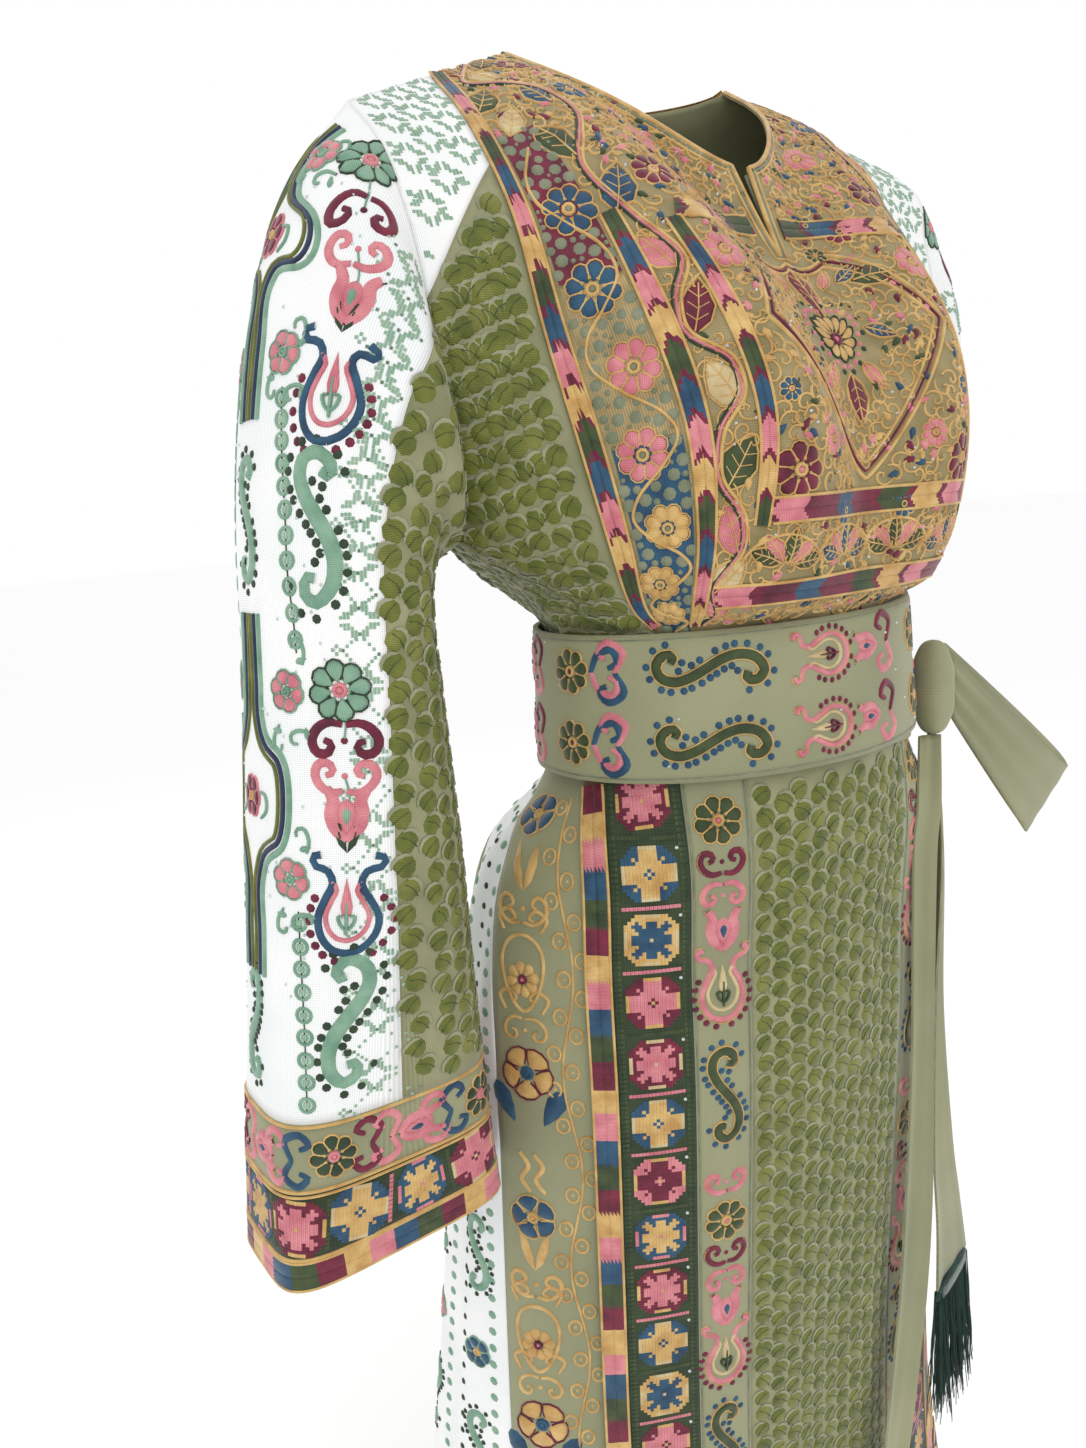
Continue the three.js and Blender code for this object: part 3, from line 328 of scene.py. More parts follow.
# %% Meshes: lists of triangles in millimetres become objects in metres


def mesh_object(name, points, faces, uv, materials, which=None, flat=None):
    mesh = bpy.data.meshes.new(name)
    mesh.from_pydata((points / 1000).tolist(), [], faces.tolist())
    for material in materials:
        mesh.materials.append(material)
    if which is not None:
        mesh.polygons.foreach_set("material_index", which.astype(np.int32))
    soft = np.ones(len(faces), bool) if flat is None else ~flat
    mesh.polygons.foreach_set("use_smooth", soft)
    layer = mesh.uv_layers.new(name="thread_mm")
    layer.data.foreach_set("uv", uv[faces.ravel()].astype(np.float32).ravel())
    mesh.validate()
    mesh.update()
    obj = bpy.data.objects.new(name, mesh)
    bpy.context.scene.collection.objects.link(obj)
    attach(obj, "root")
    return obj


def grid_faces(rows, columns, start=0):
    a = (np.arange(rows - 1)[:, None] * columns + np.arange(columns - 1)[None]).ravel() + start
    b, c, d = a + columns, a + columns + 1, a + 1
    return np.concatenate([np.stack([a, b, c], 1), np.stack([a, c, d], 1)])


def wall(name, patches, thick, material, node):
    """One thin closed sheet from patches (points, ways out, millimetre marks), joined where they touch."""
    points, outs, marks, faces, total = [], [], [], [], 0
    for p, o, m in patches:
        faces.append(grid_faces(*p.shape[:2], total))
        points.append(p.reshape(-1, 3))
        outs.append(o.reshape(-1, 3))
        marks.append(m.reshape(-1, 2))
        total += p.shape[0] * p.shape[1]
    points, outs, marks, faces = map(np.concatenate, (points, outs, marks, faces))
    near = np.round(points * 20).astype(int)  # points within a twentieth of a millimetre are one
    _, first, same = np.unique(near, axis=0, return_index=True, return_inverse=True)
    same = same.ravel()
    way = np.zeros((len(first), 3))
    np.add.at(way, same, outs)
    points, marks, faces = points[first], marks[first], same[faces]
    faces = faces[(faces[:, 0] != faces[:, 1]) & (faces[:, 1] != faces[:, 2]) & (faces[:, 2] != faces[:, 0])]
    _, once = np.unique(np.sort(faces, 1), axis=0, return_index=True)
    faces = faces[np.sort(once)]
    corners = points[faces]
    normal = np.cross(corners[:, 1] - corners[:, 0], corners[:, 2] - corners[:, 0])
    way = unit(way)
    turned = np.einsum("ij,ij->i", normal, way[faces[:, 0]]) < 0
    faces[turned] = faces[turned][:, ::-1]
    edges = np.concatenate([faces[:, [0, 1]], faces[:, [1, 2]], faces[:, [2, 0]]])
    n = len(points)
    open_edges = edges[~np.isin(edges[:, 0] * n + edges[:, 1], edges[:, 1] * n + edges[:, 0])]
    a, b = np.unique(open_edges, axis=0).T
    rim = np.concatenate([np.stack([b, a, a + n], 1), np.stack([b, a + n, b + n], 1)])
    all_faces = np.concatenate([faces, faces[:, ::-1] + n, rim])
    flat = np.arange(len(all_faces)) >= 2 * len(faces)
    obj = mesh_object(
        name, np.concatenate([points, points - way * thick]), all_faces, np.concatenate([marks, marks]),
        [material], flat=flat,
    )
    area = np.linalg.norm(normal, axis=1).sum() / 2e6
    wide, long = np.ptp(marks, axis=0) / 1000
    long = max(long, area / wide)
    cut = area if area >= 0.3 * wide * long else None
    if cut is None:
        wide = area / long  # a slanted panel fills little of its box, so its mean width is given
    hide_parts(node)

# %% [markdown]
# ## Embroidery
#
# On the real dress the thread is laid over padding, so it stands a millimetre or so proud and catches light.
# A bump map would look right only from in front. Each stitched shape is small real geometry instead: a
# padded shape for a petal or leaf, a rounded stroke for a scroll, and a dome for a knot. They share one mesh
# for each panel, and the thread colour is the material of the face.

# %% Raised stitches
THREADS = {}


class Stitching:
    def __init__(self, cloth):
        self.cloth, self.total = cloth, 0
        self.points, self.faces, self.which, self.marks = [], [], [], []

    def add(self, points, faces, thread, marks):
        self.points.append(points)
        self.faces.append(faces + self.total)
        self.which.append(np.full(len(faces), list(THREADS).index(thread)))
        self.marks.append(marks)
        self.total += len(points)

    def line(self, place, local, width, thread, height=1.1, turn=0, scale=1, **more):
        """A stroke through places in local millimetres."""
        self.stroke(self.cloth.chart(place, local, turn, scale), width, thread, height, **more)

    def pad(self, place, outline, thread, height=1.2, turn=0, scale=1, grain=0.0):
        """A padded shape: `outline` in local millimetres, raised towards its middle."""
        outline = np.asarray(outline, float)
        middle = outline.mean(0)
        rings = [(1.0, 0.02), (0.78, 0.88)]  # share of the outline and share of the height
        local = np.concatenate([middle + (outline - middle) * s for s, _ in rings] + [middle[None]])
        high = np.concatenate([np.full(len(outline), h * height) for _, h in rings] + [[height * 1.05]])
        n, k = len(outline), len(rings)
        ring = np.arange(n)
        after = (ring + 1) % n
        faces = [np.stack([j * n + ring, j * n + after, (j + 1) * n + after], 1) for j in range(k - 1)]
        faces += [np.stack([j * n + ring, (j + 1) * n + after, (j + 1) * n + ring], 1) for j in range(k - 1)]
        faces.append(np.stack([(k - 1) * n + ring, (k - 1) * n + after, np.full(n, k * n)], 1))
        uv = self.cloth.chart(place, local, turn, scale)
        points, _ = self.cloth.lay(uv[:, 0], uv[:, 1], high)
        self.add(points, np.concatenate(faces), thread, local * scale @ rotation(-grain))

    def stroke(self, path, width, thread, height=1.1, lift=0.0, closed=False, rounded=True):
        """A rounded band along chart places; `width` is half its width, one number or one for each place."""
        path = np.asarray(path, float)
        spine, out = self.cloth.lay(path[:, 0], path[:, 1], lift)
        along = unit(np.gradient(spine, axis=0))
        if closed:
            along[0] = along[-1] = unit(along[0] + along[-1])
        side = np.cross(out, along)
        width = np.broadcast_to(np.asarray(width, float), (len(path),))
        across = np.array([-1, -0.55, 0.55, 1]) if rounded else np.array([-1, 0, 1])
        high = np.array([0.0, 0.92, 0.92, 0.0] if rounded else [0.0, 1.0, 0.0]) * height
        points = (
            spine[:, None] + side[:, None] * (across[None, :, None] * width[:, None, None])
            + out[:, None] * high[None, :, None]
        )
        run = run_of(spine)
        marks = np.stack(np.broadcast_arrays(run[:, None], across[None] * width[:, None]), 2)
        faces = grid_faces(len(path), len(across))[:, ::-1]
        self.add(points.reshape(-1, 3), faces, thread, marks.reshape(-1, 2))

    def dot(self, place, radius, thread, height=1.0, sides=7):
        ring = circle(sides, radius)
        local = np.concatenate([ring, ring * 0.62, [[0, 0]]])
        high = np.concatenate([np.full(sides, 0.0), np.full(sides, height * 0.85), [height]])
        uv = self.cloth.chart(place, local)
        points, _ = self.cloth.lay(uv[:, 0], uv[:, 1], high)
        a = np.arange(sides)
        b = (a + 1) % sides
        faces = np.concatenate([
            np.stack([a, b, b + sides], 1), np.stack([a, b + sides, a + sides], 1),
            np.stack([a + sides, b + sides, np.full(sides, 2 * sides)], 1),
        ])
        self.add(points, faces, thread, local)

    def disc(self, place, radius, thread, core=None):
        """A stitched disc with a sunken ring, or with a core of another thread."""
        ring = circle(12, radius * 0.78, True)
        self.line(place, ring, radius * 0.22, thread, 0.9, closed=True)
        self.dot(place, radius * 0.5, core or thread, 0.9)

    def make(self, name):
        points, faces = np.concatenate(self.points), np.concatenate(self.faces)
        which, marks = np.concatenate(self.which), np.concatenate(self.marks)
        used = np.unique(which)
        names = list(THREADS)
        number = np.zeros(len(names), int)
        number[used] = np.arange(len(used))
        obj = mesh_object(name, points, faces, marks, [THREADS[names[i]] for i in used], number[which])
        print(name, len(faces), "triangles")
        return obj


# %% Drawing with points: a smooth path through a few of them


def path_through(points, count=16):
    points = np.asarray(points, float)
    knots = run_of(points)
    return curve(knots, points, np.linspace(0, knots[-1], count))


def beside(path):
    """The way to the right of a flat path at each point."""
    along = unit(np.gradient(path, axis=0))
    return np.stack([along[:, 1], -along[:, 0]], 1)


def flip_x(points):
    return np.asarray(points, float) * [-1, 1]


def petal(long, wide, start=0.0, tip=0.62):
    """The outline of a petal that grows up from (0, start)."""
    t = np.linspace(0, 2 * np.pi, 10, endpoint=False)
    y = (1 - np.cos(t)) / 2
    x = np.sin(t) * wide * (0.35 + 0.65 * np.clip(y / tip, 0, 1))
    return np.stack([x, start + y * long], 1)


def turned(points, angle):
    return np.asarray(points) @ rotation(angle)


# %% [markdown]
# ### The motifs
#
# These are traditional forms that many embroiderers share: an eight-petalled flower, pairs of scrolls, a
# tulip, a drop with a fleur inside, and an S with a row of knots round it. Each is a short function in local
# millimetres, so one drawing serves the sleeves, the belt and the skirt at their own scales.

# %% Motifs


def flower(work, place, radius, thread, core="gold", petals=8, outline=None, turn=0.0, heart=None):
    half = radius * math.sin(math.pi / petals) * 0.88
    for i in range(petals):
        angle = turn + i * 2 * math.pi / petals
        shape = turned(petal(radius * 0.74, half, radius * 0.26), angle)
        work.pad(place, shape, thread, 1.3, grain=-angle)
        if outline:
            work.line(place, shape[1:] * 1.04, 0.5, outline)
    work.line(place, circle(8, radius * 0.2, True), radius * 0.08, core, 1.6, closed=True)
    work.dot(place, radius * 0.15, heart or core, 1.4)


def draw(work, place, points, width, thread, turn=0.0, scale=1.0, count=16, height=1.1, taper=True):
    path = path_through(points, count)
    share = np.linspace(0, 1, count)
    size = width * (0.6 + 0.5 * np.sin(np.pi * np.clip(share * 0.86 + 0.07, 0, 1))) if taper else width
    work.line(place, path, np.asarray(size) * scale, thread, height, turn, scale)


SCROLL = [(1, -9), (8, -10), (15, -6), (18, 1), (15, 7), (9, 7), (7, 2), (11, 0)]
PETAL_SIDE = [(0, -15), (6, -9), (9, 0), (8, 9), (12, 16)]
LEAF = [(0, 0), (5, 5), (8, 13), (9, 24), (4, 18), (1, 9)]
DROP = [(17, 33), (23, 31), (21, 26), (13, 24), (9, 17), (14, 5), (19, -8), (16, -22), (8, -30), (0, -32)]
FLEUR = np.array([(0, -16), (4, -12), (5, -6), (2, -6)])
S_CURVE = [
    (2, 31), (7, 29), (7, 37), (0, 42), (-9, 38), (-12, 27), (-8, 15), (0, 3), (8, -9), (12, -22),
    (9, -35), (0, -41), (-7, -36), (-6, -28), (-1, -29),
]


def scrolls(work, place, thread, scale=1.0, turn=0.0, edge=None, width=2.7, upside=False):
    shape = np.asarray(SCROLL, float) * ([1, -1] if upside else [1, 1])
    for points in (shape, flip_x(shape)):
        draw(work, place, points, width, thread, turn, scale)
        if edge:
            draw(work, place, points * 1.12, 0.5, edge, turn, scale, height=0.8)
    work.dot(place, 2.1 * scale, thread)


def tulip(work, place, scale=1.0, turn=0.0, outer="pink", inner="seafoam", edge="gold"):
    for points in (np.asarray(PETAL_SIDE, float), flip_x(PETAL_SIDE)):
        draw(work, place, points, 3.9, outer, turn, scale, height=1.3)
        draw(work, place, points * [1.25, 1.05], 0.5, edge, turn, scale, height=0.9)
    shape = np.asarray(petal(22, 6.0, -12), float)
    work.pad(place, shape, outer, 1.2, turn, scale)
    work.pad(place, shape * 0.55, inner, 1.7, turn, scale)


def leaf_pair(work, place, thread, scale=1.0, turn=0.0):
    for points in (np.asarray(LEAF, float), flip_x(LEAF)[::-1]):
        work.pad(place, points, thread, 1.2, turn, scale, grain=0.8)


def knots_round(work, place, points, thread, offset, pitch, radius, turn=0.0, scale=1.0, sides=(1, -1)):
    """Knots beside a path, left out where they would meet another part of it."""
    path = path_through(points, 80)
    side = beside(path)
    run = run_of(path)
    kept = []
    for sign in sides:
        for at in np.arange(pitch / 2, run[-1], pitch):
            i = int(np.abs(run - at).argmin())
            spot = path[i] + side[i] * offset * sign
            near = np.linalg.norm(path - spot, axis=1).min() < offset * 0.93
            if near or any(np.hypot(*(spot - other)) < pitch * 0.8 for other in kept):
                continue
            kept.append(spot)
    for u, v in work.cloth.chart(place, kept, turn, scale) if kept else ():
        work.dot((u, v), radius * scale, thread)


def drop(
    work, place, scale=1.0, turn=0.0, line="blue", inside="pink", fleur="seafoam", knots="burgundy", edge=None,
):
    half = np.asarray(DROP, float)
    for points in (half, flip_x(half)):
        draw(work, place, points, 2.6, line, turn, scale, count=22, taper=False)
        draw(work, place, points[3:] * 0.72, 1.7, inside, turn, scale, count=16, taper=False)
        if edge:
            draw(work, place, points * 1.1, 0.5, edge, turn, scale, count=22, height=0.8)
    shape = np.asarray([(0, 20), (2.6, 8), (4, 0), (3, -5), (0, -7), (-3, -5), (-4, 0), (-2.6, 8)], float)
    work.pad(place, shape, inside, 1.4, turn, scale)
    draw(work, place, [(0, 4), (0, -19)], 1.2, fleur, turn, scale, 5, 1.9)
    for sign in (1, -1):
        draw(work, place, FLEUR * [sign, 1], 1.1, fleur, turn, scale, 8, 1.9)
    for sign in (1, -1):
        knots_round(work, place, half[5:] * [sign, 1], knots, 6.8, 6.6, 3.1, turn, scale, (-sign,))


def s_shape(work, place, scale=1.0, turn=0.0, thread="seafoam", knots="dark_green", edge=None, mirror=False):
    points = flip_x(S_CURVE) if mirror else np.asarray(S_CURVE, float)
    draw(work, place, points, 4.6, thread, turn, scale, count=34, height=1.5)
    if edge:
        path = path_through(points, 40)
        for sign in (-1, 1):
            draw(work, place, path + beside(path) * sign * 4.2, 0.6, edge, turn, scale, 40, 1.0, False)
    knots_round(work, place, points, knots, 7.9, 6.7, 3.0, turn, scale)


def stem(work, places, thread="gold", width=0.7, count=60, height=0.8):
    work.stroke(path_through(places, count), width, thread, height)


def block_star(work, place, size, threads, scheme):
    """A cross-stitched rosette: small square pyramids, charted by a rule of rings and diagonals."""
    reach = 7  # cells from the middle to the edge
    cell = size / (2 * reach + 1)
    for i in range(-reach, reach + 1):
        for j in range(-reach, reach + 1):
            far, near = max(abs(i), abs(j)), min(abs(i), abs(j))
            if far + near > 11:
                continue
            if far + near >= 10:
                pick = 1
            elif far in (0, reach):
                pick = 2
            elif scheme == 0:
                pick = 0 if far <= 5 and (near <= 1 or far - near <= 1) else 1
            else:
                pick = 0 if (far >= 2 and near <= 2) or (far == near and far <= 4) else 1
            spot = work.cloth.chart(place, [(i * cell, j * cell)])[0]
            stitch(work, spot, cell * 0.52, threads[pick])


def stitch(work, spot, half, thread, height=0.8):
    local = np.array([(-half, -half), (half, -half), (half, half), (-half, half), (0, 0)])
    uv = work.cloth.chart(spot, local)
    points, _ = work.cloth.lay(uv[:, 0], uv[:, 1], np.array([0.15, 0.15, 0.15, 0.15, height]))
    work.add(points, np.array([[0, 1, 4], [1, 2, 4], [2, 3, 4], [3, 0, 4]]), thread, local)

# %% [markdown]
# ## Finishes
#
# Thread is not one colour: each stitch turns its side to the light a little differently. Every thread gets
# fine ridges along the stitch from a wave in the piece's own millimetre marks, and a small drift of colour
# from a noise. Cloth gets a plain weave from two crossed waves. The numbers that are the same all over sit
# directly on the shader, so that they survive an export.

# %% Building a finish


def linear(rgb):
    c = np.asarray(rgb, float) / 255
    return (*np.where(c <= 0.04045, c / 12.92, ((c + 0.055) / 1.055) ** 2.4), 1.0)


def finish(name, light, dark, grain, relief, roughness, sheen, crossed=False, patch=90.0):
    """light, dark: the two colours; grain: millimetres from thread to thread; relief: metres."""
    material = bpy.data.materials.new(name)
    material.use_nodes = True
    nodes, links = material.node_tree.nodes, material.node_tree.links
    shader = nodes["Principled BSDF"]
    for socket, value in (
        ("Roughness", roughness), ("Sheen Weight", sheen), ("Sheen Roughness", 0.4),
        ("Specular IOR Level", 0.3),
    ):
        shader.inputs[socket].default_value = value
    marks, place = nodes.new("ShaderNodeUVMap"), nodes.new("ShaderNodeTexCoord")
    marks.uv_map = "thread_mm"
    heights = []
    for direction in ("X", "Y") if crossed else ("X",):
        wave = nodes.new("ShaderNodeTexWave")
        wave.bands_direction = direction
        wave.inputs["Scale"].default_value = 0.314 / grain  # a wave of scale 1 repeats every 0.314
        wave.inputs["Distortion"].default_value = 0.6
        wave.inputs["Detail Scale"].default_value = 0.6
        links.new(marks.outputs["UV"], wave.inputs["Vector"])
        heights.append(wave.outputs["Fac"])
    height = heights[0]
    if crossed:
        both = nodes.new("ShaderNodeMath")
        both.operation = "MAXIMUM"
        links.new(heights[0], both.inputs[0])
        links.new(heights[1], both.inputs[1])
        height = both.outputs[0]
    bump = nodes.new("ShaderNodeBump")
    bump.inputs["Strength"].default_value = 0.6
    bump.inputs["Distance"].default_value = relief
    links.new(height, bump.inputs["Height"])
    links.new(bump.outputs["Normal"], shader.inputs["Normal"])
    noise = nodes.new("ShaderNodeTexNoise")
    noise.inputs["Scale"].default_value = patch
    noise.inputs["Detail"].default_value = 3
    links.new(place.outputs["Object"], noise.inputs["Vector"])
    ramp = nodes.new("ShaderNodeValToRGB")
    for stop, position, colour in zip(ramp.color_ramp.elements, (0.32, 0.68), (dark, light)):
        stop.position, stop.color = position, linear(colour)
    links.new(noise.outputs["Fac"], ramp.inputs["Fac"])
    # The colour is multiplied by the weave's height, so it is darker in the low parts between the threads:
    # painted shade in the grooves.
    groove_shade = nodes.new("ShaderNodeMix")
    groove_shade.data_type, groove_shade.blend_type = "RGBA", "MULTIPLY"
    groove_shade.inputs["Factor"].default_value = 0.35
    links.new(ramp.outputs["Color"], groove_shade.inputs["A"])
    links.new(height, groove_shade.inputs["B"])
    links.new(groove_shade.outputs["Result"], shader.inputs["Base Color"])
    material.diffuse_color = linear(light)
    return material


# %% Cloths and threads: light and dark colour, thread pitch, relief, roughness, sheen (and size of patches)
CLOTHS = {key: finish(name, *look, crossed=True, patch=patch) for key, name, *look, patch in (
    ("white", "white_satin", (250, 250, 248), (236, 240, 240), 0.9, 4e-5, 0.55, 0.3, 14),
    ("leaf", "leaf_ground", (154, 153, 118), (130, 132, 96), 0.8, 5e-5, 0.7, 0.3, 30),
    ("sage", "sage_twill", (158, 158, 124), (140, 142, 110), 0.7, 5e-5, 0.75, 0.25, 9),
    ("chest", "chest_ground", (166, 150, 108), (134, 122, 82), 0.9, 8e-5, 0.7, 0.25, 60),
    ("ground_green", "cross_stitch_ground", (58, 72, 46), (40, 54, 34), 1.9, 2e-4, 0.75, 0.2, 70),
    ("ribbon", "ribbon_ground", (120, 92, 60), (96, 72, 46), 0.8, 1e-4, 0.6, 0.2, 60),
)}
NOT_THREAD = ("crystal", "net")
THREADS.update({key: finish(key if key in NOT_THREAD else f"thread_{key}", *look) for key, *look in (
    ("burgundy", (132, 34, 62), (88, 18, 44), 0.9, 2e-4, 0.45, 0.2),
    ("blue", (48, 94, 124), (30, 66, 96), 0.9, 2e-4, 0.45, 0.2),
    ("pink", (232, 148, 154), (206, 112, 126), 0.9, 2e-4, 0.45, 0.2),
    ("old_gold", (184, 160, 112), (150, 130, 88), 0.9, 2e-4, 0.5, 0.2),
    ("gold", (232, 194, 124), (198, 152, 84), 0.8, 2e-4, 0.35, 0.2),
    ("green", (74, 88, 50), (46, 62, 34), 0.9, 2e-4, 0.5, 0.2),
    ("dark_green", (52, 74, 48), (34, 54, 34), 0.9, 2e-4, 0.5, 0.2),
    ("seafoam", (146, 184, 158), (112, 156, 130), 0.9, 2e-4, 0.45, 0.25),
    ("pale_seafoam", (168, 196, 172), (140, 176, 150), 1.3, 2e-4, 0.5, 0.25),
    ("olive", (122, 128, 50), (88, 98, 32), 1.1, 3e-4, 0.5, 0.25),
    ("grey_sage", (146, 150, 124), (116, 124, 98), 0.9, 2e-4, 0.5, 0.2),
    ("navy", (46, 62, 92), (30, 42, 68), 0.9, 2e-4, 0.5, 0.2),
    ("cream", (226, 206, 160), (202, 176, 126), 0.8, 2e-4, 0.45, 0.2),
    ("crystal", (236, 240, 240), (206, 216, 222), 2.0, 1e-5, 0.08, 0.0),
    ("bottle", (22, 74, 58), (10, 46, 38), 0.7, 1e-4, 0.35, 0.3),
    ("olive_light", (136, 138, 66), (104, 110, 44), 1.1, 3e-4, 0.5, 0.25),
    ("net", (168, 170, 138), (142, 146, 112), 0.8, 1e-4, 0.7, 0.2),
    ("olive_dark", (74, 92, 38), (56, 74, 28), 1.1, 2e-4, 0.5, 0.25),
)})

# %% [markdown]
# ## The dress, panel by panel
#
# Each panel is a wall of cloth cut from a chart. Rows and columns are about five millimetres apart in front
# and wider at the back. Seams are where two walls end side by side.

# %% Charts of the bodice and the sleeves


def on_front(u, row):
    return bodice(FRONT_LEVELS, u, level_of(row, u, FRONT_DIP))


def on_back(u, row):
    return bodice(BACK_LEVELS, u, level_of(row, u, BACK_DIP))


# Creases: from a place to a place, width and height in millimetres.
front_creases = [
    (-0.98, 10.6, -0.8, 12.6, 7, 3.0), (-0.99, 9.6, -0.78, 10.8, 7, 2.4), (-0.97, 12, -0.72, 13.6, 6, 2.2),
    (-0.95, 7.5, -0.72, 9.6, 9, 2.2), (0.98, 10.6, 0.8, 12.6, 7, 3.0), (0.99, 9.6, 0.78, 10.8, 7, 2.4),
    (-0.9, 6.0, -0.74, 8.0, 10, 1.8), (-0.88, 13.6, -0.70, 15.0, 5, 1.6), (0.9, 13.0, 0.72, 14.6, 5, 1.6),
]
back_creases = [
    (s * a, r0, s * b, r1, 9, h)
    for s in (-1, 1)
    for a, r0, b, r1, h in (
        (0.98, 10.4, 0.7, 12.6, 3), (0.9, 8.5, 0.5, 11.5, 2.4), (0.6, 12.5, 0.2, 13.8, 2.4),
    )
]
front = Cloth(np.linspace(-1, 1, 401), np.linspace(0, 16, 321), on_front, front_creases)
back = Cloth(np.linspace(1, -1, 241), np.linspace(0, 16, 161), on_back, back_creases)
sleeve_creases = [
    (0.30, 3.5, 0.86, 4.1, 7, 3.2), (0.35, 4.4, 0.95, 4.2, 6, 2.6), (0.52, 3.1, 0.9, 3.7, 6, 2.2),
    (0.42, 5.0, 0.9, 4.7, 7, 2.2), (0.75, 0.3, 0.95, 1.6, 7, 2.8), (0.62, 0.5, 0.9, 2.0, 8, 2.6),
    (1.05, 3.4, 1.5, 4.3, 8, 3.0), (1.1, 4.6, 1.6, 4.3, 7, 2.6), (0.06, 3.8, 0.3, 4.5, 9, 1.8),
    (0.3, 5.9, 0.7, 6.6, 10, 1.6), (1.1, 1.0, 1.4, 2.4, 9, 2.6),
]
around, along = np.linspace(-0.5, 1.5, 281), np.linspace(0, 9, 361)
sleeves = {
    "right": Cloth(around, along, lambda u, v: sleeve(u, v, 0), sleeve_creases),
    "left": Cloth(around, along, lambda u, v: drawn_back(sleeve(u, v, 1) * [-1, 1, 1]), sleeve_creases, -1),
}


# %% Charts of the skirt and the belt


SAGE_EDGE = 236  # where the godet starts, round from the centre front
skirt_creases = [
    (s * (SAGE_EDGE + 24 * k), -434, s * (232 + 40 * k), -640, 8, 3) for s in (-1, 1) for k in range(3)
]
skirt_creases += [
    (-60, -470, -30, -760, 16, -2.2), (52, -480, 20, -820, 16, -2.2), (-200, -900, -190, -1300, 14, -3),
]
lengths = np.linspace(-500, 500, 251)
heights = np.linspace(WAIST_SEAM, HEM, 259)
skirt_front = Cloth(lengths, heights, skirt, skirt_creases)
STRIP_EDGES = [70, 108, 155, 171]  # where the strips beside the leaf panel start and end


def underlap(length):
    """How far the sage panel sinks, so that it runs under the strip beside it."""
    return 4 * (1 - smooth((np.abs(length) - STRIP_EDGES[-1]) / (SAGE_EDGE - STRIP_EDGES[-1])))


under_sage = Cloth(lengths, heights, lambda u, v: skirt(u, v, underlap(u)), skirt_creases)
BELT_TOP, BELT_HIGH = -340, 85
BELT_LOW = BELT_TOP - BELT_HIGH


def belt_point(angle, z, out=0.0):
    flare = 4 * (BELT_TOP - z) / BELT_HIGH + out
    return np.stack([(132.7 + flare) * np.sin(angle), -50 - (102.7 + flare) * np.cos(angle), z], 1)


turns = np.linspace(-math.pi, math.pi, 361)
belt_creases = [
    (-1.35, -368, -0.2, -377, 5, -0.6), (-1.4, -400, -0.6, -394, 6, 0.6), (0.1, -360, 1.2, -352, 6, 0.5),
]
belt = Cloth(turns, np.linspace(BELT_TOP, BELT_LOW, 35), belt_point, belt_creases)

# %% Cutting walls from the charts


def rows_columns(cloth, u_of, rows, columns, lift, u_mm, v_mm):
    """A patch: u_of(row, share) gives the place across; rows are places down the chart."""
    v, t = np.meshgrid(rows, np.linspace(0, 1, columns), indexing="ij")
    u = u_of(v, t)
    points, outs = cloth.lay(u, v, np.full(u.shape, lift))
    return points, outs, np.stack([u * u_mm, -v * v_mm], 2)


def between(a, b):
    return lambda v, t: lerp(a, b, t) + 0 * v


# About how many millimetres one step of the bodice charts and of the sleeve charts is, across and down.
FRONT_MM, ROW_MM = 225.0, 24.0
ROUND_MM, DOWN_MM = 145.0, 74.0
CLOTH = 1.6
SLIT = [0, 1, 2, 3]
SLIT_END = SLIT[-1]
SHOULDER_ROWS = 5  # the white cloth covers the shoulder down to this row


def slit_half(row):
    return np.interp(row, SLIT, [0.024, 0.017, 0.009, 0.0])


fine_rows = np.linspace(0, 16, 81)
top_rows, low_rows = fine_rows[fine_rows <= SLIT_END], fine_rows[fine_rows >= SLIT_END]
patches = [rows_columns(front, across, rows, 36, 0, FRONT_MM, ROW_MM) for across, rows in (
    (lambda v, t: lerp(-EDGE, -slit_half(v), t), top_rows),
    (lambda v, t: lerp(slit_half(v), EDGE, t), top_rows),
    (between(-EDGE, 0), low_rows), (between(0, EDGE), low_rows),
)]
wall("chest_cloth", patches, CLOTH, CLOTHS["chest"], "chest_panel")
side_rows = fine_rows[fine_rows >= SHOULDER_ROWS]
for side, sign in (("right", -1), ("left", 1)):
    patch = rows_columns(front, between(sign * EDGE, sign), side_rows, 14, 0, FRONT_MM, ROW_MM)
    wall(f"side_cloth_{side}", [patch], CLOTH, CLOTHS["leaf"], f"side_front_{side}")
back_rows = np.linspace(0, 16, 65)
back_low = back_rows[back_rows >= SHOULDER_ROWS]
patches = [rows_columns(back, between(a, b), rows, columns, 0, FRONT_MM, ROW_MM) for a, b, rows, columns in (
    (EDGE, -EDGE, back_rows, 44), (-EDGE, -1, back_low, 10), (1, EDGE, back_low, 10),
)]
wall("back_cloth", patches, CLOTH, CLOTHS["leaf"], "back_bodice")
CUFF_BANDS = [
    ("sage_band", 7.67, 8.2, "sage"), ("cross_stitch", 8.2, 8.76, "ground_green"), ("edge", 8.76, 9, "ribbon"),
]
CUFF_TOP = CUFF_BANDS[0][1]
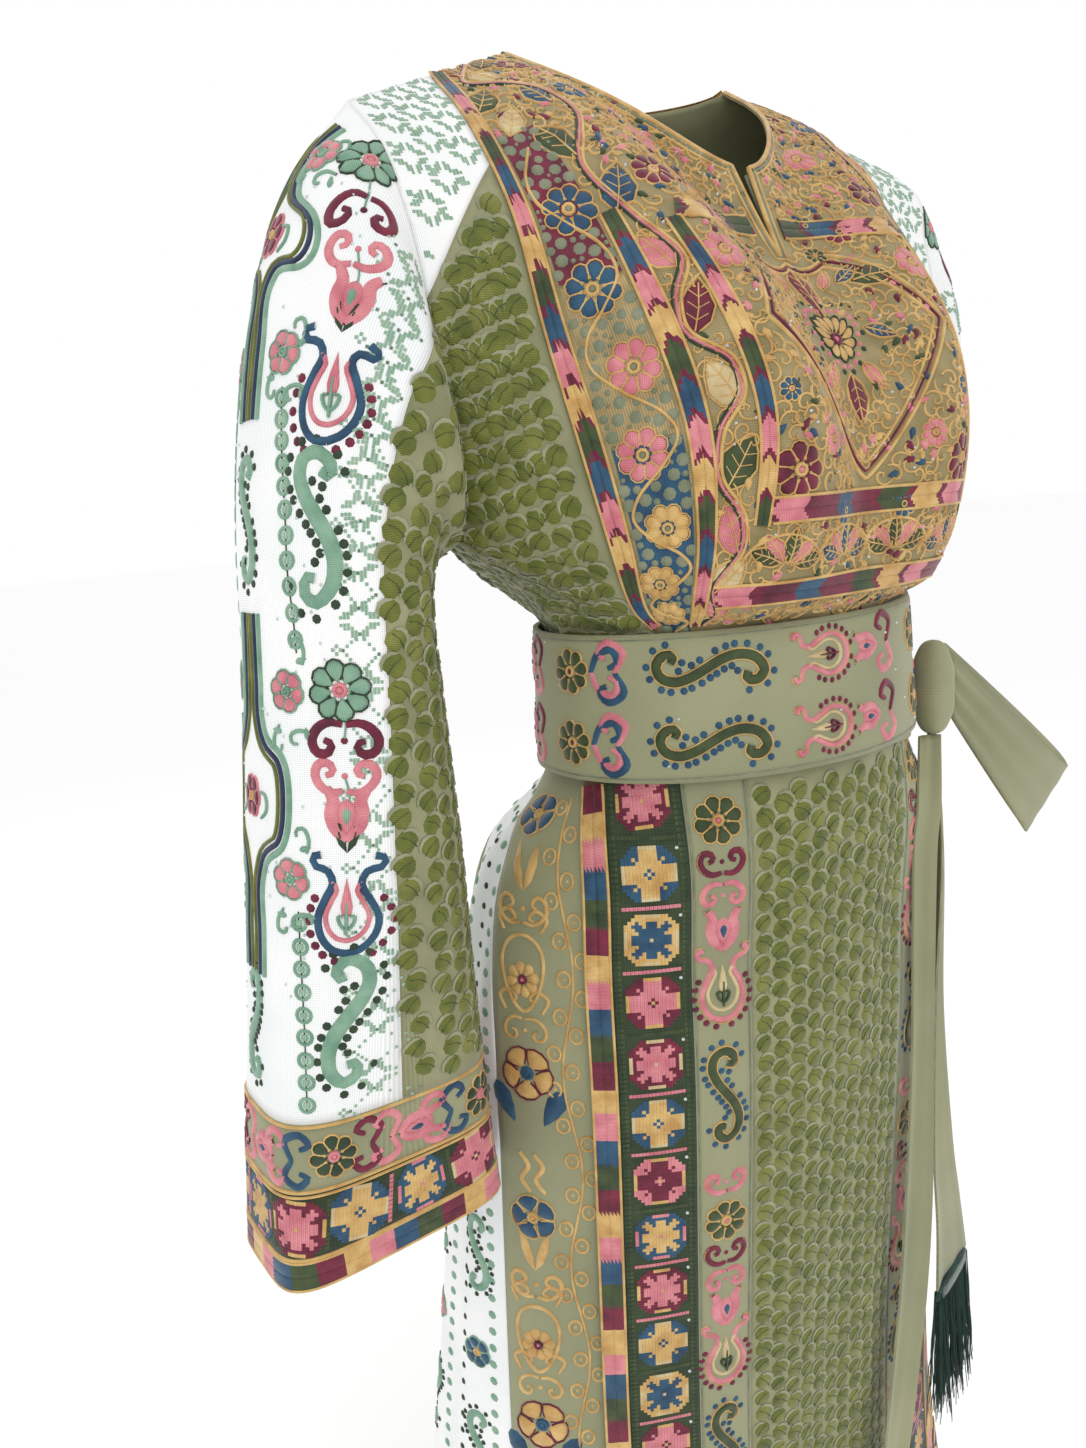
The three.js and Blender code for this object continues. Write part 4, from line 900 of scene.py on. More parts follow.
for side, cloth in sleeves.items():
    sign = -1 if side == "right" else 1
    down = np.linspace(0, CUFF_TOP, 87)
    shoulder = np.linspace(0, SHOULDER_ROWS, 26)
    wall(f"sleeve_white_{side}", [
        rows_columns(cloth, between(-0.5, 0.5), down, 37, 0, ROUND_MM, DOWN_MM),
        rows_columns(front, between(sign, sign * EDGE), shoulder, 16, 0, ROUND_MM, ROW_MM),
        rows_columns(back, between(sign * EDGE, sign), shoulder, 16, 0, ROUND_MM, ROW_MM),
    ], CLOTH, CLOTHS["white"], f"sleeve_top_{side}")
    patch = rows_columns(cloth, between(0.5, 1.5), down, 37, 0, ROUND_MM, DOWN_MM)
    wall(f"sleeve_leaf_{side}", [patch], CLOTH, CLOTHS["leaf"], f"sleeve_under_{side}")
    for name, start, end, ground in CUFF_BANDS:
        patch = rows_columns(cloth, between(-0.5, 1.5), np.linspace(start, end, 6), 97, 0, ROUND_MM, DOWN_MM)
        wall(f"cuff_{name}_cloth_{side}", [patch], CLOTH, CLOTHS[ground], f"cuff_{name}_{side}")

# %% Skirt panels
GODET_WAIST, GODET_HEM = 34, 250


def godet_end(z):
    return SAGE_EDGE + lerp(GODET_WAIST, GODET_HEM, (WAIST_SEAM - z) / (WAIST_SEAM - HEM))


def side_back_end(z):
    return godet_end(z) + np.minimum(62, (half_round(z) - godet_end(z)) * 0.6)


def round_the_back(z):
    return 2 * half_round(z) - side_back_end(z)


skirt_rows = np.concatenate([np.linspace(WAIST_SEAM, -475, 13), np.linspace(-482, HEM, 84)])


def skirt_patch(near, far, columns, sign=1, cloth=None, rows=skirt_rows):
    """A panel between two edges, each a number or a rule of the height."""
    z, t = np.meshgrid(rows, np.linspace(0, 1, columns), indexing="ij")
    edges = [edge(z) if callable(edge) else edge + 0 * z for edge in (near, far)]
    length = lerp(*edges, t) * sign
    if cloth is not None:
        points, outs = cloth.lay(length, z)
        return points, outs, np.stack([length, z], 2)
    points = skirt(length.ravel(), z.ravel()).reshape(*z.shape, 3)
    across, down = np.gradient(points, axis=1), np.gradient(points, axis=0)
    return points, unit(np.cross(down, across)) * sign, np.stack([length, z], 2)


patch = skirt_patch(-STRIP_EDGES[0], STRIP_EDGES[0], 29, 1, skirt_front)
wall("skirt_leaf_cloth", [patch], CLOTH, CLOTHS["leaf"], "skirt_leaf_panel")
for side, sign in (("right", -1), ("left", 1)):
    for name, node, near, far, columns, chart, ground in (
        ("motif_strip", "motif_strip", *STRIP_EDGES[:2], 9, skirt_front, "sage"),
        ("cross_stitch", "cross_stitch", *STRIP_EDGES[1:3], 10, skirt_front, "ground_green"),
        ("colour_strip", "colour_strip", *STRIP_EDGES[2:], 5, skirt_front, "ribbon"),
        ("sage", "sage_panel", 160, SAGE_EDGE, 16, under_sage, "sage"),
        ("godet", "godet", SAGE_EDGE, godet_end, 40, None, "white"),
        ("side_back", "side_back", godet_end, side_back_end, 12, None, "sage"),
    ):
        patch = skirt_patch(near, far, columns, sign, chart)
        wall(f"skirt_{name}_cloth_{side}", [patch], CLOTH, CLOTHS[ground], f"skirt_{node}_{side}")
patch = skirt_patch(side_back_end, round_the_back, 70, 1, None, skirt_rows[::2])
wall("skirt_back_cloth", [patch], CLOTH, CLOTHS["leaf"], "skirt_back")

# %% [markdown]
# ## The belt, the bow and the tails
#
# The belt is stiffened and keeps a clean edge, while its tails are plain twill that folds softly. The loop
# is one band that turns at its tip, so it is a wall like the others and not two flat plates.

# %% Belt, knot and loop
z, t = np.meshgrid(np.linspace(BELT_TOP, BELT_LOW, 15), np.linspace(-math.pi, math.pi, 161), indexing="ij")
points, outs = belt.lay(t, z)
BELT_RADIUS = 122  # about, in millimetres
patch = (points, outs, np.stack([t * BELT_RADIUS, z], 2))
wall("belt_band", [patch], 3.0, CLOTHS["sage"], "belt")
DEGREE = math.pi / 180
share, t = np.meshgrid(np.linspace(0, 1, 8), np.linspace(8 * DEGREE, 84 * DEGREE, 50), indexing="ij")
low = -426 - 9 * smooth((t - 8 * DEGREE) / (50 * DEGREE))
z = lerp(-396, low, share)
points = belt_point(t.ravel(), z.ravel(), -3.7).reshape(*t.shape, 3)
outs = unit(np.stack([np.sin(t) / 132, -np.cos(t) / 102, 0 * t], 2))
patch = (points, outs, np.stack([t * BELT_RADIUS, z], 2))
wall("belt_second_turn", [patch], 1.2, CLOTHS["sage"], "belt_under_wrap")

ROOT, TIP = np.array([136.9, -120, -404]), np.array([250, -121, -508])
ROOT_WIDE, TIP_WIDE, APART = np.array([0, 0, -44]), np.array([-58, -2, -38]), np.array([4.5, 13.5, 10])
across, turn = np.meshgrid(np.linspace(-0.5, 0.5, 17), np.linspace(0, 1, 73), indexing="ij")
away = 1 - np.abs(2 * turn - 1)
reach = np.sin(np.minimum(1, away * 1.02) * math.pi / 2)
opened = np.where(turn < 0.5, -1, 1) * np.abs(np.sin(math.pi * np.minimum(1, 0.06 + away * 0.94))) ** 0.8
points = (
    lerp(ROOT, TIP, reach[..., None]) + APART * opened[..., None]
    + lerp(ROOT_WIDE, TIP_WIDE, reach[..., None]) * across[..., None]
)
pleat = np.exp(-away / 0.35) * 2.2 * np.sin(across * 19)  # the loop is gathered where the knot holds it
along, over = np.gradient(points, axis=1), np.gradient(points, axis=0)
outs = unit(np.cross(over, along))
points = points + outs * pleat[..., None] * np.where(turn < 0.5, 1, -1)[..., None]
LOOP_LONG, LOOP_WIDE = 330, 60
patch = (points, outs, np.stack([turn * LOOP_LONG, across * LOOP_WIDE], 2))
wall("bow_loop_band", [patch], CLOTH, CLOTHS["sage"], "bow_loop")


def power(v):
    """Rounds a circle towards a square."""
    return np.sign(v) * np.abs(v) ** (2 / 2.6)


lat, lon = np.meshgrid(np.linspace(0, math.pi, 41), np.linspace(0, 2 * math.pi, 61), indexing="ij")
body = np.stack([power(np.sin(lat) * np.cos(lon)), -power(np.sin(lat) * np.sin(lon)), power(np.cos(lat))], 2)
wrap = 1 - 0.035 * (1 + np.cos(np.clip((body[..., 2] * 32 + 3 * body[..., 0]) / 32 * 9, -12, 12))) * 0.5
points = (np.array([122.9, -119.1, -407]) + body * np.array([13, 13, 32]) * wrap[..., None]).reshape(-1, 3)
knot_marks = np.stack([lon * 13, lat * 20], 2).reshape(-1, 2)
knot = mesh_object("knot_wrap", points, grid_faces(41, 61), knot_marks, [CLOTHS["sage"]])
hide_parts("knot")

# %% Tails: the middle of the band, half its width as a vector, and its hollow
TAILS = {
    "long": ([
        [116, -122, -438.4, 6, -4, 2], [92, -139, -480, 8, -3, 3], [87, -139, -516, 8, -3, 3],
        [84, -138, -645, 9, -2, 3], [82, -135, -762, 12, -2, 4], [75, -134, -845, 14, -1, 4],
        [58, -136, -929, 15, 0, 4], [46, -138, -990, 16, 2, 4], [38, -142, -1100, 18, 3, 3],
    ], 74),
    "short": ([
        [127.5, -116, -439.2, 4, 5, 2], [124, -126, -520, 7, 5, 3], [124, -122, -640, 11, 5, 4],
        [134, -117, -755, 17, 5, 5], [141, -116, -815, 24, 8, 4], [146, -115, -868, 30, 9, 2],
    ], 50),
}
for name, (rows, count) in TAILS.items():
    v, s = np.meshgrid(np.linspace(0, len(rows) - 1, count), np.linspace(-1, 1, 13), indexing="ij")
    row = curve(range(len(rows)), rows, v.ravel()).reshape(*v.shape, 6)
    size = np.hypot(row[..., 3], row[..., 4])
    dip = row[..., 5] * (1 - s**2) + 0.8 * np.sin(s * 5 + v * 0.8) * (1 - s**2)
    x = row[..., 0] + row[..., 3] * s - row[..., 4] / size * dip
    y = row[..., 1] + row[..., 4] * s + row[..., 3] / size * dip
    points = np.stack([x, y, row[..., 2]], 2)
    outs = unit(np.cross(np.gradient(points, axis=0), np.gradient(points, axis=1)))
    wall(f"tail_{name}_band", [(points, outs, np.stack([s * size, row[..., 2]], 2))], CLOTH, CLOTHS["sage"],
         f"tail_{name}")

# %% [markdown]
# ## Tassels
#
# A tassel is some hundreds of strands under a stitched head. Hair particles don't survive an export, so each
# strand is a thin three-sided tube with its own wave.

# %% Strands
STRANDS = 210


def tassel(name, row, node):
    x, y, z, half_x, half_y, hollow = row
    size = math.hypot(half_x, half_y)
    way = np.array([half_x / size, half_y / size, 0])
    fore = np.array([-way[1], way[0], 0])
    middle = np.array([x, y, z]) + fore * hollow / 2
    points, faces, marks, total = [], [], [], 0
    down = np.linspace(0, 1, 12)
    n = len(down)
    for i in range(STRANDS):
        across = rng.uniform(-0.94, 0.94) * size
        deep = rng.uniform(-2.4, 2.4)
        long = 118 * rng.uniform(0.72, 1.0)
        sway, lean = rng.uniform(-4, 4), rng.uniform(-3.5, 3.5)
        wave, turn = rng.uniform(0.5, 1.5), rng.uniform(0, 6.28)
        side = across * (1 + 0.22 * down) + sway * down**1.5 + wave * np.sin(down * 16 + turn) * down
        front_ = deep * (1 + 1.6 * down) + lean * down + wave * np.cos(down * 14 + turn) * down
        path = middle + np.outer(side, way) + np.outer(front_, fore) + np.outer(-3 - long * down, [0, 0, 1])
        thick = 0.55 * (1 - 0.4 * down[:, None] ** 3)
        for angle in (0, 2.094, 4.188):  # the three sides
            points.append(path + thick * (math.cos(angle) * way + math.sin(angle) * fore))
        k = np.arange(n - 1)
        for a, b in ((0, 1), (1, 2), (2, 0)):
            a0, b0 = total + a * n + k, total + b * n + k
            faces += [np.stack([a0, b0, b0 + 1], 1), np.stack([a0, b0 + 1, a0 + 1], 1)]
        faces.append(total + np.array([[0, 2 * n, n], [n - 1, 2 * n - 1, 3 * n - 1]]))
        marks.append(np.tile(np.stack([down * long, 0 * down], 1), (3, 1)))
        total += 3 * n
    turn, drop_ = np.meshgrid(np.linspace(0, 2 * math.pi, 49), [0, 0, 2, 5, 8, 10, 10.5], indexing="xy")
    swell = np.array([0.0, 0.9, 1.0, 1.03, 1.0, 0.92, 0.0])[:, None] * (1 + 0.03 * np.cos(turn * 16))
    head = middle + (
        (np.sign(np.cos(turn)) * np.abs(np.cos(turn)) ** 0.6 * swell * size)[..., None] * way
        + (np.sin(turn) * swell * 3.4)[..., None] * fore - (drop_ + 0.3)[..., None] * np.array([0, 0, 1])
    )
    points.append(head.reshape(-1, 3))
    faces.append(grid_faces(7, 49, total))
    marks.append(np.stack([turn * 20, drop_], 2).reshape(-1, 2))
    strands = mesh_object(name, *map(np.concatenate, (points, faces, marks)), [THREADS["bottle"]])
    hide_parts(node)


tassel("tassel_long_strands", TAILS["long"][0][-1], "tassel_long")
tassel("tassel_short_strands", TAILS["short"][0][-1], "tassel_short")

# %% [markdown]
# ## Ribbons of the chest
#
# Each ribbon is woven in blocks of colour with a chevron between them and a gold cord along both edges. One
# strip carries both: the colour of a face comes from how far along and across the ribbon it lies.

# %% Colour-block ribbons
BLOCKS = ["green", "blue", "pink", "gold"]


def block_thread(along, across, block, blocks, chevron):
    """The thread of a face: blocks in order, with a burgundy chevron where two meet."""
    names = list(THREADS)
    place = (along + chevron * (1 - np.abs(across))) / block
    pick = np.array([names.index(b) for b in blocks])[np.floor(place).astype(int) % len(blocks)]
    return np.where(place % 1 < 0.2, names.index("burgundy"), pick) if chevron else pick


def ribbon(work, path, half, block=20.0, blocks=BLOCKS, chevron=7.0, lift=0.5):
    """A ribbon along chart places with half its width in millimetres for each."""
    spine, out = work.cloth.lay(path[:, 0], path[:, 1], lift)
    along = unit(np.gradient(spine, axis=0))
    side = np.cross(out, along)
    across = np.array([-1, -0.93, -0.86, -0.6, -0.3, -0.05, 0, 0.05, 0.3, 0.6, 0.86, 0.93, 1])
    rise = np.array([-0.4, 0.55, 0.7, 0.95, 0.95, 0.8, 0.3, 0.8, 0.95, 0.95, 0.7, 0.55, -0.4]) * 0.9
    half = np.broadcast_to(np.asarray(half, float), (len(path),))
    away = across[None] * half[:, None]
    points = spine[:, None] + side[:, None] * away[..., None] + out[:, None] * rise[None, :, None]
    marks = np.stack(np.broadcast_arrays(run_of(spine)[:, None], away), 2).reshape(-1, 2)
    faces = grid_faces(len(path), len(across))[:, ::-1]
    middle = marks[faces].mean(1)
    work.add(points.reshape(-1, 3), faces, "gold", marks)
    work.which[-1] = block_thread(middle[:, 0], middle[:, 1] / half.mean(), block, blocks, chevron)
    for sign in (-1, 1):
        edge = spine + side * (sign * half[:, None] * 0.97) + out * 0.2
        cord(work, edge, out, 0.9, "gold")


def cord(work, spine, out, radius, thread):
    along = unit(np.gradient(spine, axis=0))
    side = np.cross(out, along)
    angle = np.radians([-20, 30, 90, 150, 200])
    points = spine[:, None] + radius * (
        side[:, None] * np.cos(angle)[None, :, None] + out[:, None] * np.sin(angle)[None, :, None]
    )
    marks = np.stack(np.broadcast_arrays(run_of(spine)[:, None], angle[None] * radius), 2)
    work.add(points.reshape(-1, 3), grid_faces(len(spine), 5), thread, marks.reshape(-1, 2))


def row_at(level, across):
    """The row of the chart at which a line reaches a level."""
    rows = np.linspace(0, 16, 400)
    return float(np.interp(level, level_of(rows, np.full(400, across), FRONT_DIP), rows))


def ribbon_half(u0, u1, path):
    left, _ = front.lay(np.sign(path[:, 0]) * u0, path[:, 1])
    right, _ = front.lay(np.sign(path[:, 0]) * u1, path[:, 1])
    return np.linalg.norm(right - left, axis=1) / 2


chest_nodes = [f"ribbon_{n}_{s}" for n in ("outer", "second", "inner", "upper") for s in ("right", "left")]
chest_nodes += ["ribbon_middle", "ribbon_lower"]
ribbons = Stitching(front)


def row_at_height(across, z):
    rows = np.linspace(0, 16, 600)
    points, _ = front.lay(np.full(600, across), rows)
    return rows[np.abs(points[:, 2] - z).argmin()]


for sign in (-1, 1):
    for (u0, u1), first, last in (
        ((0.622, 2 / 3), 0.0, row_at(6.8, 0.645)), ((0.470, 0.507), row_at(2.2, 0.484), row_at(6.8, 0.484)),
        ((0.370, 0.404), row_at(2.3, 0.39), row_at_height(0.39, -284)),
    ):
        rows = np.linspace(first + 0.02, last, 90)
        path = np.stack([np.full(90, sign * (u0 + u1) / 2), rows], 1)
        ribbon(ribbons, path, ribbon_half(u0, u1, path) * 0.88)
    u = np.linspace(0.047, 0.366, 40) * sign
    path = np.array([(a, row_at_height(a, -120.5)) for a in u])
    ribbon(ribbons, path, 7.2, chevron=6)
for z, end in ((-277, 0.37), (-320.5, 0.456)):
    u = np.linspace(-end, end, 110)
    path = np.array([(a, row_at_height(a, z)) for a in u])
    path[:, 1] = np.convolve(np.pad(path[:, 1], 4, mode="edge"), np.ones(9) / 9, "valid")
    ribbon(ribbons, path, 6.8, 22, ["pink", "burgundy", "blue", "burgundy", "green", "gold"], 5)
obj = ribbons.make("chest_ribbons")
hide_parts(*chest_nodes)

# %% The bound neck edge, with the facing behind the slit
trim = Stitching(front)
u = np.linspace(-1 / 3, -0.03, 40)
slit_rows = np.linspace(0, SLIT_END, 24)
slit = np.stack([-np.interp(slit_rows, SLIT, [0.026, 0.019, 0.011, 0.002]), slit_rows], 1)
right_side = np.concatenate([np.stack([u, 0 * u], 1), slit])
left_side = right_side[::-1] * [-1, 1]
edge = np.concatenate([right_side, left_side])
for cloth_, path in ((front, edge), (back, np.stack([np.linspace(1 / 3, -1 / 3, 70), np.zeros(70)], 1))):
    spine, out = cloth_.lay(path[:, 0], path[:, 1], 0.3)
    along = unit(np.gradient(spine, axis=0))
    inward = np.cross(out, along)
    cord(trim, spine, out, 1.5, "gold")
    cord(trim, spine - inward * 2.6, out, 1.0, "grey_sage")
    cord(trim, spine - inward * 4.6, out, 0.9, "gold")
obj = trim.make("neck_edge")
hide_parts("neck_binding")
facing = [
    rows_columns(front, between(a, b), np.linspace(0.1, SLIT_END, 20), 8, -2.4, FRONT_MM, ROW_MM)
    for a, b in ((-0.10, -0.02), (0.02, 0.10))
]
wall("neck_facing_cloth", facing, 1.0, CLOTHS["sage"], "neck_facing")

# %% [markdown]
# ## The white sleeve cloth
#
# A row of motifs runs down the front of the arm: flower, scrolls, tulip, drop and S, twice. The outside of
# the arm has bands that swell into arches round a flower. Behind the arm the same drawing is mirrored, as an
# embroiderer would fold the pattern over.

# %% Embroidery on the sleeves
ARM = 1 / np.array([ROUND_MM, DOWN_MM])  # chart steps for a millimetre round the arm and down it
# Places round the arm (0 outside, 0.5 in front) and down it: the bands, then the row of motifs, twice each.
BAND = [
    [(0.05, 3.25), (0.055, 2.7), (0.06, 2.2), (0.08, 2.1), (0.15, 2.0), (0.185, 1.75), (0.15, 1.5),
     (0.08, 1.4), (0.06, 1.28), (0.06, 0.9), (0.085, 0.35)],
    [(0.05, 4.5), (0.055, 4.9), (0.06, 5.1), (0.08, 5.2), (0.15, 5.3), (0.18, 5.56), (0.15, 5.82),
     (0.08, 5.92), (0.06, 6.02), (0.055, 6.4), (0.05, 6.7)],
]
MAIN = [
    [(0.217, 0.36), (0.264, 1.02), (0.285, 1.42), (0.307, 1.86), (0.304, 2.24), (0.306, 2.72), (0.29, 3.86)],
    [(0.353, 4.9), (0.365, 5.2), (0.366, 5.4), (0.372, 5.62), (0.374, 5.84), (0.374, 6.18), (0.385, 6.98)],
]
MEDALLION_LINE = [
    (0, 0.40), (1.6, 0.425), (3.1, 0.43), (4.2, 0.42), (4.8, 0.425), (6, 0.455), (6.8, 0.463), (7.5, 0.463),
]  # how far down, and how far round
PINK_FLOWERS = [(0.088, 0.83), (0.145, 2.72), (0.173, 4.925), (0.186, 6.0)]
CHAINS = [
    [(0.150, 2.98), (0.162, 3.4), (0.181, 3.86), (0.20, 4.3), (0.213, 4.7)],
    [(0.215, 6.2), (0.235, 6.9), (0.258, 7.58)],
]


TENDRIL = [(-4, -5), (1, -2), (3, 3), (0, 5), (-2, 3)]


def offset_path(places, offset, count=70):
    path = path_through(np.asarray(places) / ARM, count)
    return (path - beside(path) * offset) * ARM


def chain(work, places, pitch, radius, thread, core=None, mirror=1):
    path = path_through(np.asarray(places) / ARM, 200)
    run = run_of(path)
    for at in np.arange(pitch / 2, run[-1], pitch):
        u, v = path[int(np.abs(run - at).argmin())] * ARM
        work.disc((u * mirror, v), radius, thread, core)


def medallion(work, place, cell, thread):
    """Eight blocks of cross-stitch round an open middle."""
    for i in range(-5, 6):
        for j in range(-5, 6):
            far, near = max(abs(i), abs(j)), min(abs(i), abs(j))
            if (far in (3, 4) and near in (1, 2)) or (far == 5 and near == 1) or (far == 2 and near == 2):
                stitch(work, work.cloth.chart(place, [(i * cell, j * cell)])[0], cell * 0.47, thread, 0.7)


def stitch_line(work, start, end, pitch, thread):
    a, b = np.asarray(start) / ARM, np.asarray(end) / ARM
    count = max(2, int(np.hypot(*(b - a)) / pitch))
    for t in np.linspace(0, 1, count):
        stitch(work, lerp(a, b, t) * ARM, pitch * 0.42, thread, 0.6)


def sleeve_embroidery(work):
    for m in (1, -1):
        def at(u, v):
            return (u * m, v)
        for way, band in zip((-m, m), BAND):
            places = [at(*p) for p in band]
            for offset, thread, half in ((0, "seafoam", 1.9), (3.6, "navy", 1.6), (6.6, "olive", 1.1)):
                work.stroke(offset_path(places, offset * way), half, thread, 1.3)
        for k, row in enumerate(MAIN):
            places = [at(*p) for p in row]
            flower(work, places[0], 15.0, "seafoam", "pink", 8, "dark_green", 0.2, "pink")
            scrolls(work, places[1], "burgundy", 0.92, upside=True)
            scrolls(work, places[2], "pink", 0.85)
            tulip(work, places[3], 0.86, edge="dark_green")
            leaf_pair(work, places[4], "dark_green", 0.85)
            drop(work, places[5], 0.8)
            s_shape(work, places[6], 0.84, mirror=bool(k) != (m < 0))
            for (u0, v0), (u1, v1) in (places[0:2], places[2:4]):
                bend = [(u0, v0), ((u0 + u1) / 2 + 0.012, (v0 + v1) / 2), (u1, v1)]
                work.stroke(path_through(bend, 8), 0.6, "seafoam", 0.7)
        for u, v in PINK_FLOWERS:
            flower(work, at(u, v), 10.6, "pink", "seafoam", 6, "seafoam", 0.3)
            for du, dv, turn in ((0.05, -0.25, 0.9), (-0.04, 0.28, 3.6), (0.045, 0.25, 2.4)):
                draw(work, at(u + du, v + dv), TENDRIL, 0.9, "seafoam", turn, 1.2, 10)
                work.pad(at(u + du * 1.5, v + dv * 0.8), petal(7, 1.9), "seafoam", 0.9, turn + 1)
        for places in CHAINS:
            chain(work, places, 11.6, 5.0, "seafoam", "pale_seafoam", m)
            work.stroke(path_through([at(*p) for p in places], 60), 0.4, "dark_green", 0.5)
        for v in np.arange(0.62, 7.5, 0.425):
            u = np.interp(v, *np.transpose(MEDALLION_LINE))
            medallion(work, at(u, v), 1.75, "pale_seafoam")
            for du, dv in ((0.055, 0.21), (-0.055, 0.21)):
                stitch_line(work, at(u, v + 0.09), at(u + du, v + dv), 2.0, "pale_seafoam")
                stitch_line(work, at(u + du, v + dv), at(u, v + 0.34), 2.0, "pale_seafoam")
            for i, j in ((0, 1), (0, -1), (1, 0), (-1, 0)):
                spot = work.cloth.chart(at(u - 0.075, v + 0.21), [(i * 1.9, j * 1.9)])[0]
                stitch(work, spot, 0.9, "pale_seafoam", 0.6)
        for u, v in zip(rng.uniform(0.06, 0.36, 60), rng.uniform(0.3, 7.5, 60)):
            work.dot(at(u, v), 0.9, "crystal", 0.9, 6)
    for v in (1.75, 5.56):
        flower(work, (0.0, v), 11, "burgundy", "gold", 6, "pink", 0.5)
        for side_ in (-1, 1):
            bract = [(-4, -7), (2, -4), (3, 3), (-1, 5)]
            draw(work, (side_ * 0.06, v + 0.02), bract, 1.0, "seafoam", 0.3, 1.1, 10)
    s_shape(work, (0.0, 3.92), 0.72)
    s_shape(work, (0.0, 7.08), 0.72, mirror=True)


for side, cloth in sleeves.items():
    work = Stitching(cloth)
    sleeve_embroidery(work)
    work.make(f"sleeve_embroidery_{side}")
for side, sign in (("right", -1), ("left", 1)):
    for name, chart in (("front", front), ("back", back)):
        work = Stitching(chart)
        for r in np.arange(0.5, 4.9, 1.15):
            for u in np.arange(0.72, 0.97, 0.1):
                medallion(work, (sign * u, r), 1.75, "pale_seafoam")
                stitch(work, (sign * (u + 0.05), r + 0.55), 1.6, "pale_seafoam", 0.6)
                stitch(work, (sign * (u + 0.035), r + 0.7), 1.0, "pale_seafoam", 0.6)
        work.make(f"shoulder_stitches_{name}_{side}")

# %% [markdown]
# ## Leaf cloth
#
# This cloth is covered with round leaves in fishbone stitch, in pairs along climbing stems, and the pale net
# shows in the gaps. Each leaf is a padded shape that leans on its neighbour, placed row by row.

# %% Leaves
LEAF_WIDE, LEAF_HIGH = 12.6, 13.2


def round_leaf(size):
    t = np.linspace(0, 2 * np.pi, 9, endpoint=False)
    pinch = 1 - sum(0.28 * np.exp(-(((t - stalk) / 0.55) ** 2)) for stalk in (0, 2 * np.pi))
    return np.stack([np.sin(t), -np.cos(t) * pinch], 1) * size


def leaf(work, place, size, turn, side_, net=True):
    """One leaf with a curved midrib and a crescent of bare net beside it."""
    thread = "olive" if rng.random() < 0.75 else "olive_light"
    work.pad(place, round_leaf(size), thread, 1.0, turn, grain=0.75 * side_)
    vein = [(0, -size * 0.8), (side_ * size * 0.16, 0), (0, size * 0.75)]
    work.line(place, vein, 0.4, "olive_dark", 0.45, turn, lift=0.85, rounded=False)
    if not net:
        return
    bow = [(math.sin(a) * size * 0.97 * side_, -math.cos(a) * size * 0.97) for a in np.linspace(0.5, 2.7, 5)]
    wide = np.sin(np.linspace(0.2, 2.9, 5)) + 0.2
    work.line(place, bow, wide, "net", 0.6, turn, lift=0.55, rounded=False)


def leaves(work, u_range, v_range, u_mm, v_mm, inside=None, net=True):
    """Pairs of leaves along stems; inside(u, v) says where the cloth is."""
    track = np.linspace(*v_range, 90)
    for i, u in enumerate(np.arange(u_range[0], u_range[1], LEAF_WIDE / u_mm)):
        stem_, _ = work.cloth.lay(np.full(90, u), track)
        run = run_of(stem_)
        for j, down in enumerate(np.arange(LEAF_HIGH / 2 if i % 2 else 0, run[-1], LEAF_HIGH)):
            side_ = 1 if (i + j) % 2 else -1
            uu = u + side_ * 1.1 / u_mm + rng.uniform(-0.5, 0.5) / u_mm
            vv = float(np.interp(down, run, track)) + rng.uniform(-0.6, 0.6) / v_mm
            if inside is not None and not inside(uu, vv):
                continue
            leaf(work, (uu, vv), rng.uniform(6.1, 6.8), side_ * rng.uniform(0.6, 1.2), side_, net)


for side, sign in (("right", -1), ("left", 1)):
    work = Stitching(front)
    span = sorted((sign * (EDGE + 0.035), sign * 0.98))
    leaves(work, span, (5.4, 15.8), 285, ROW_MM)
    work.make(f"side_leaves_{side}")
    work = Stitching(sleeves[side])
    leaves(work, (0.525, 1.49), (0.15, 7.6), ROUND_MM, DOWN_MM)
    work.make(f"sleeve_leaves_{side}")
work = Stitching(back)


def on_the_back(u, v):
    return v > (0.5 if abs(u) < 0.64 else 5.4)


leaves(work, (-0.96, 0.96), (0.6, 15.8), FRONT_MM, ROW_MM, on_the_back, False)
work.make("back_leaves")
work = Stitching(skirt_front)
LEAVES_TOP, LEAVES_END = -438, -1392
for j, z in enumerate(np.arange(LEAVES_TOP, LEAVES_END, -LEAF_HIGH)):
    for i, x in enumerate(np.linspace(-61, 61, 11)):
        side_ = 1 if (i + j) % 2 else -1
        place = (x + side_ * 1.1, z - (LEAF_HIGH / 2 if i % 2 else 0) + rng.uniform(-0.6, 0.6))
        size, turn = rng.uniform(6.3, 6.9), side_ * rng.uniform(0.7, 1.1)
        if place[1] >= LEAVES_END:
            leaf(work, place, size, turn, side_)
work.make("skirt_leaves")

# %% [markdown]
# ## Belt, cuffs and skirt strips
#
# The belt and the strips repeat the sleeve's motifs at a smaller scale, with a gold outline. The dark strips
# are counted cross-stitch, so each rosette is charted by a rule on a square grid.

# %% The belt's two rows of motifs
HOOK = np.array([(0, 0), (4, 9), (-4, 13), (-8, 8), (-4, 6)])
SNAIL = np.array([(-2, 0), (2, 8), (9, 10), (11, 4), (7, 2)])
MOTIF_ROWS, EDGE_ROWS = (-361, -403), (-343, -422.5)
PERIOD, FIRST = 2 * math.pi / 3, -1.46  # the motifs repeat three times round the belt
SIDEWAYS = math.pi / 2
work = Stitching(belt)


def on_belt(turn):
    return (turn + math.pi) % (2 * math.pi) - math.pi


def belt_hook(turn, z, points, sign, thread):
    draw(work, (on_belt(turn), z), points * [1, sign], 1.7, thread, 0, 1.3, 14)


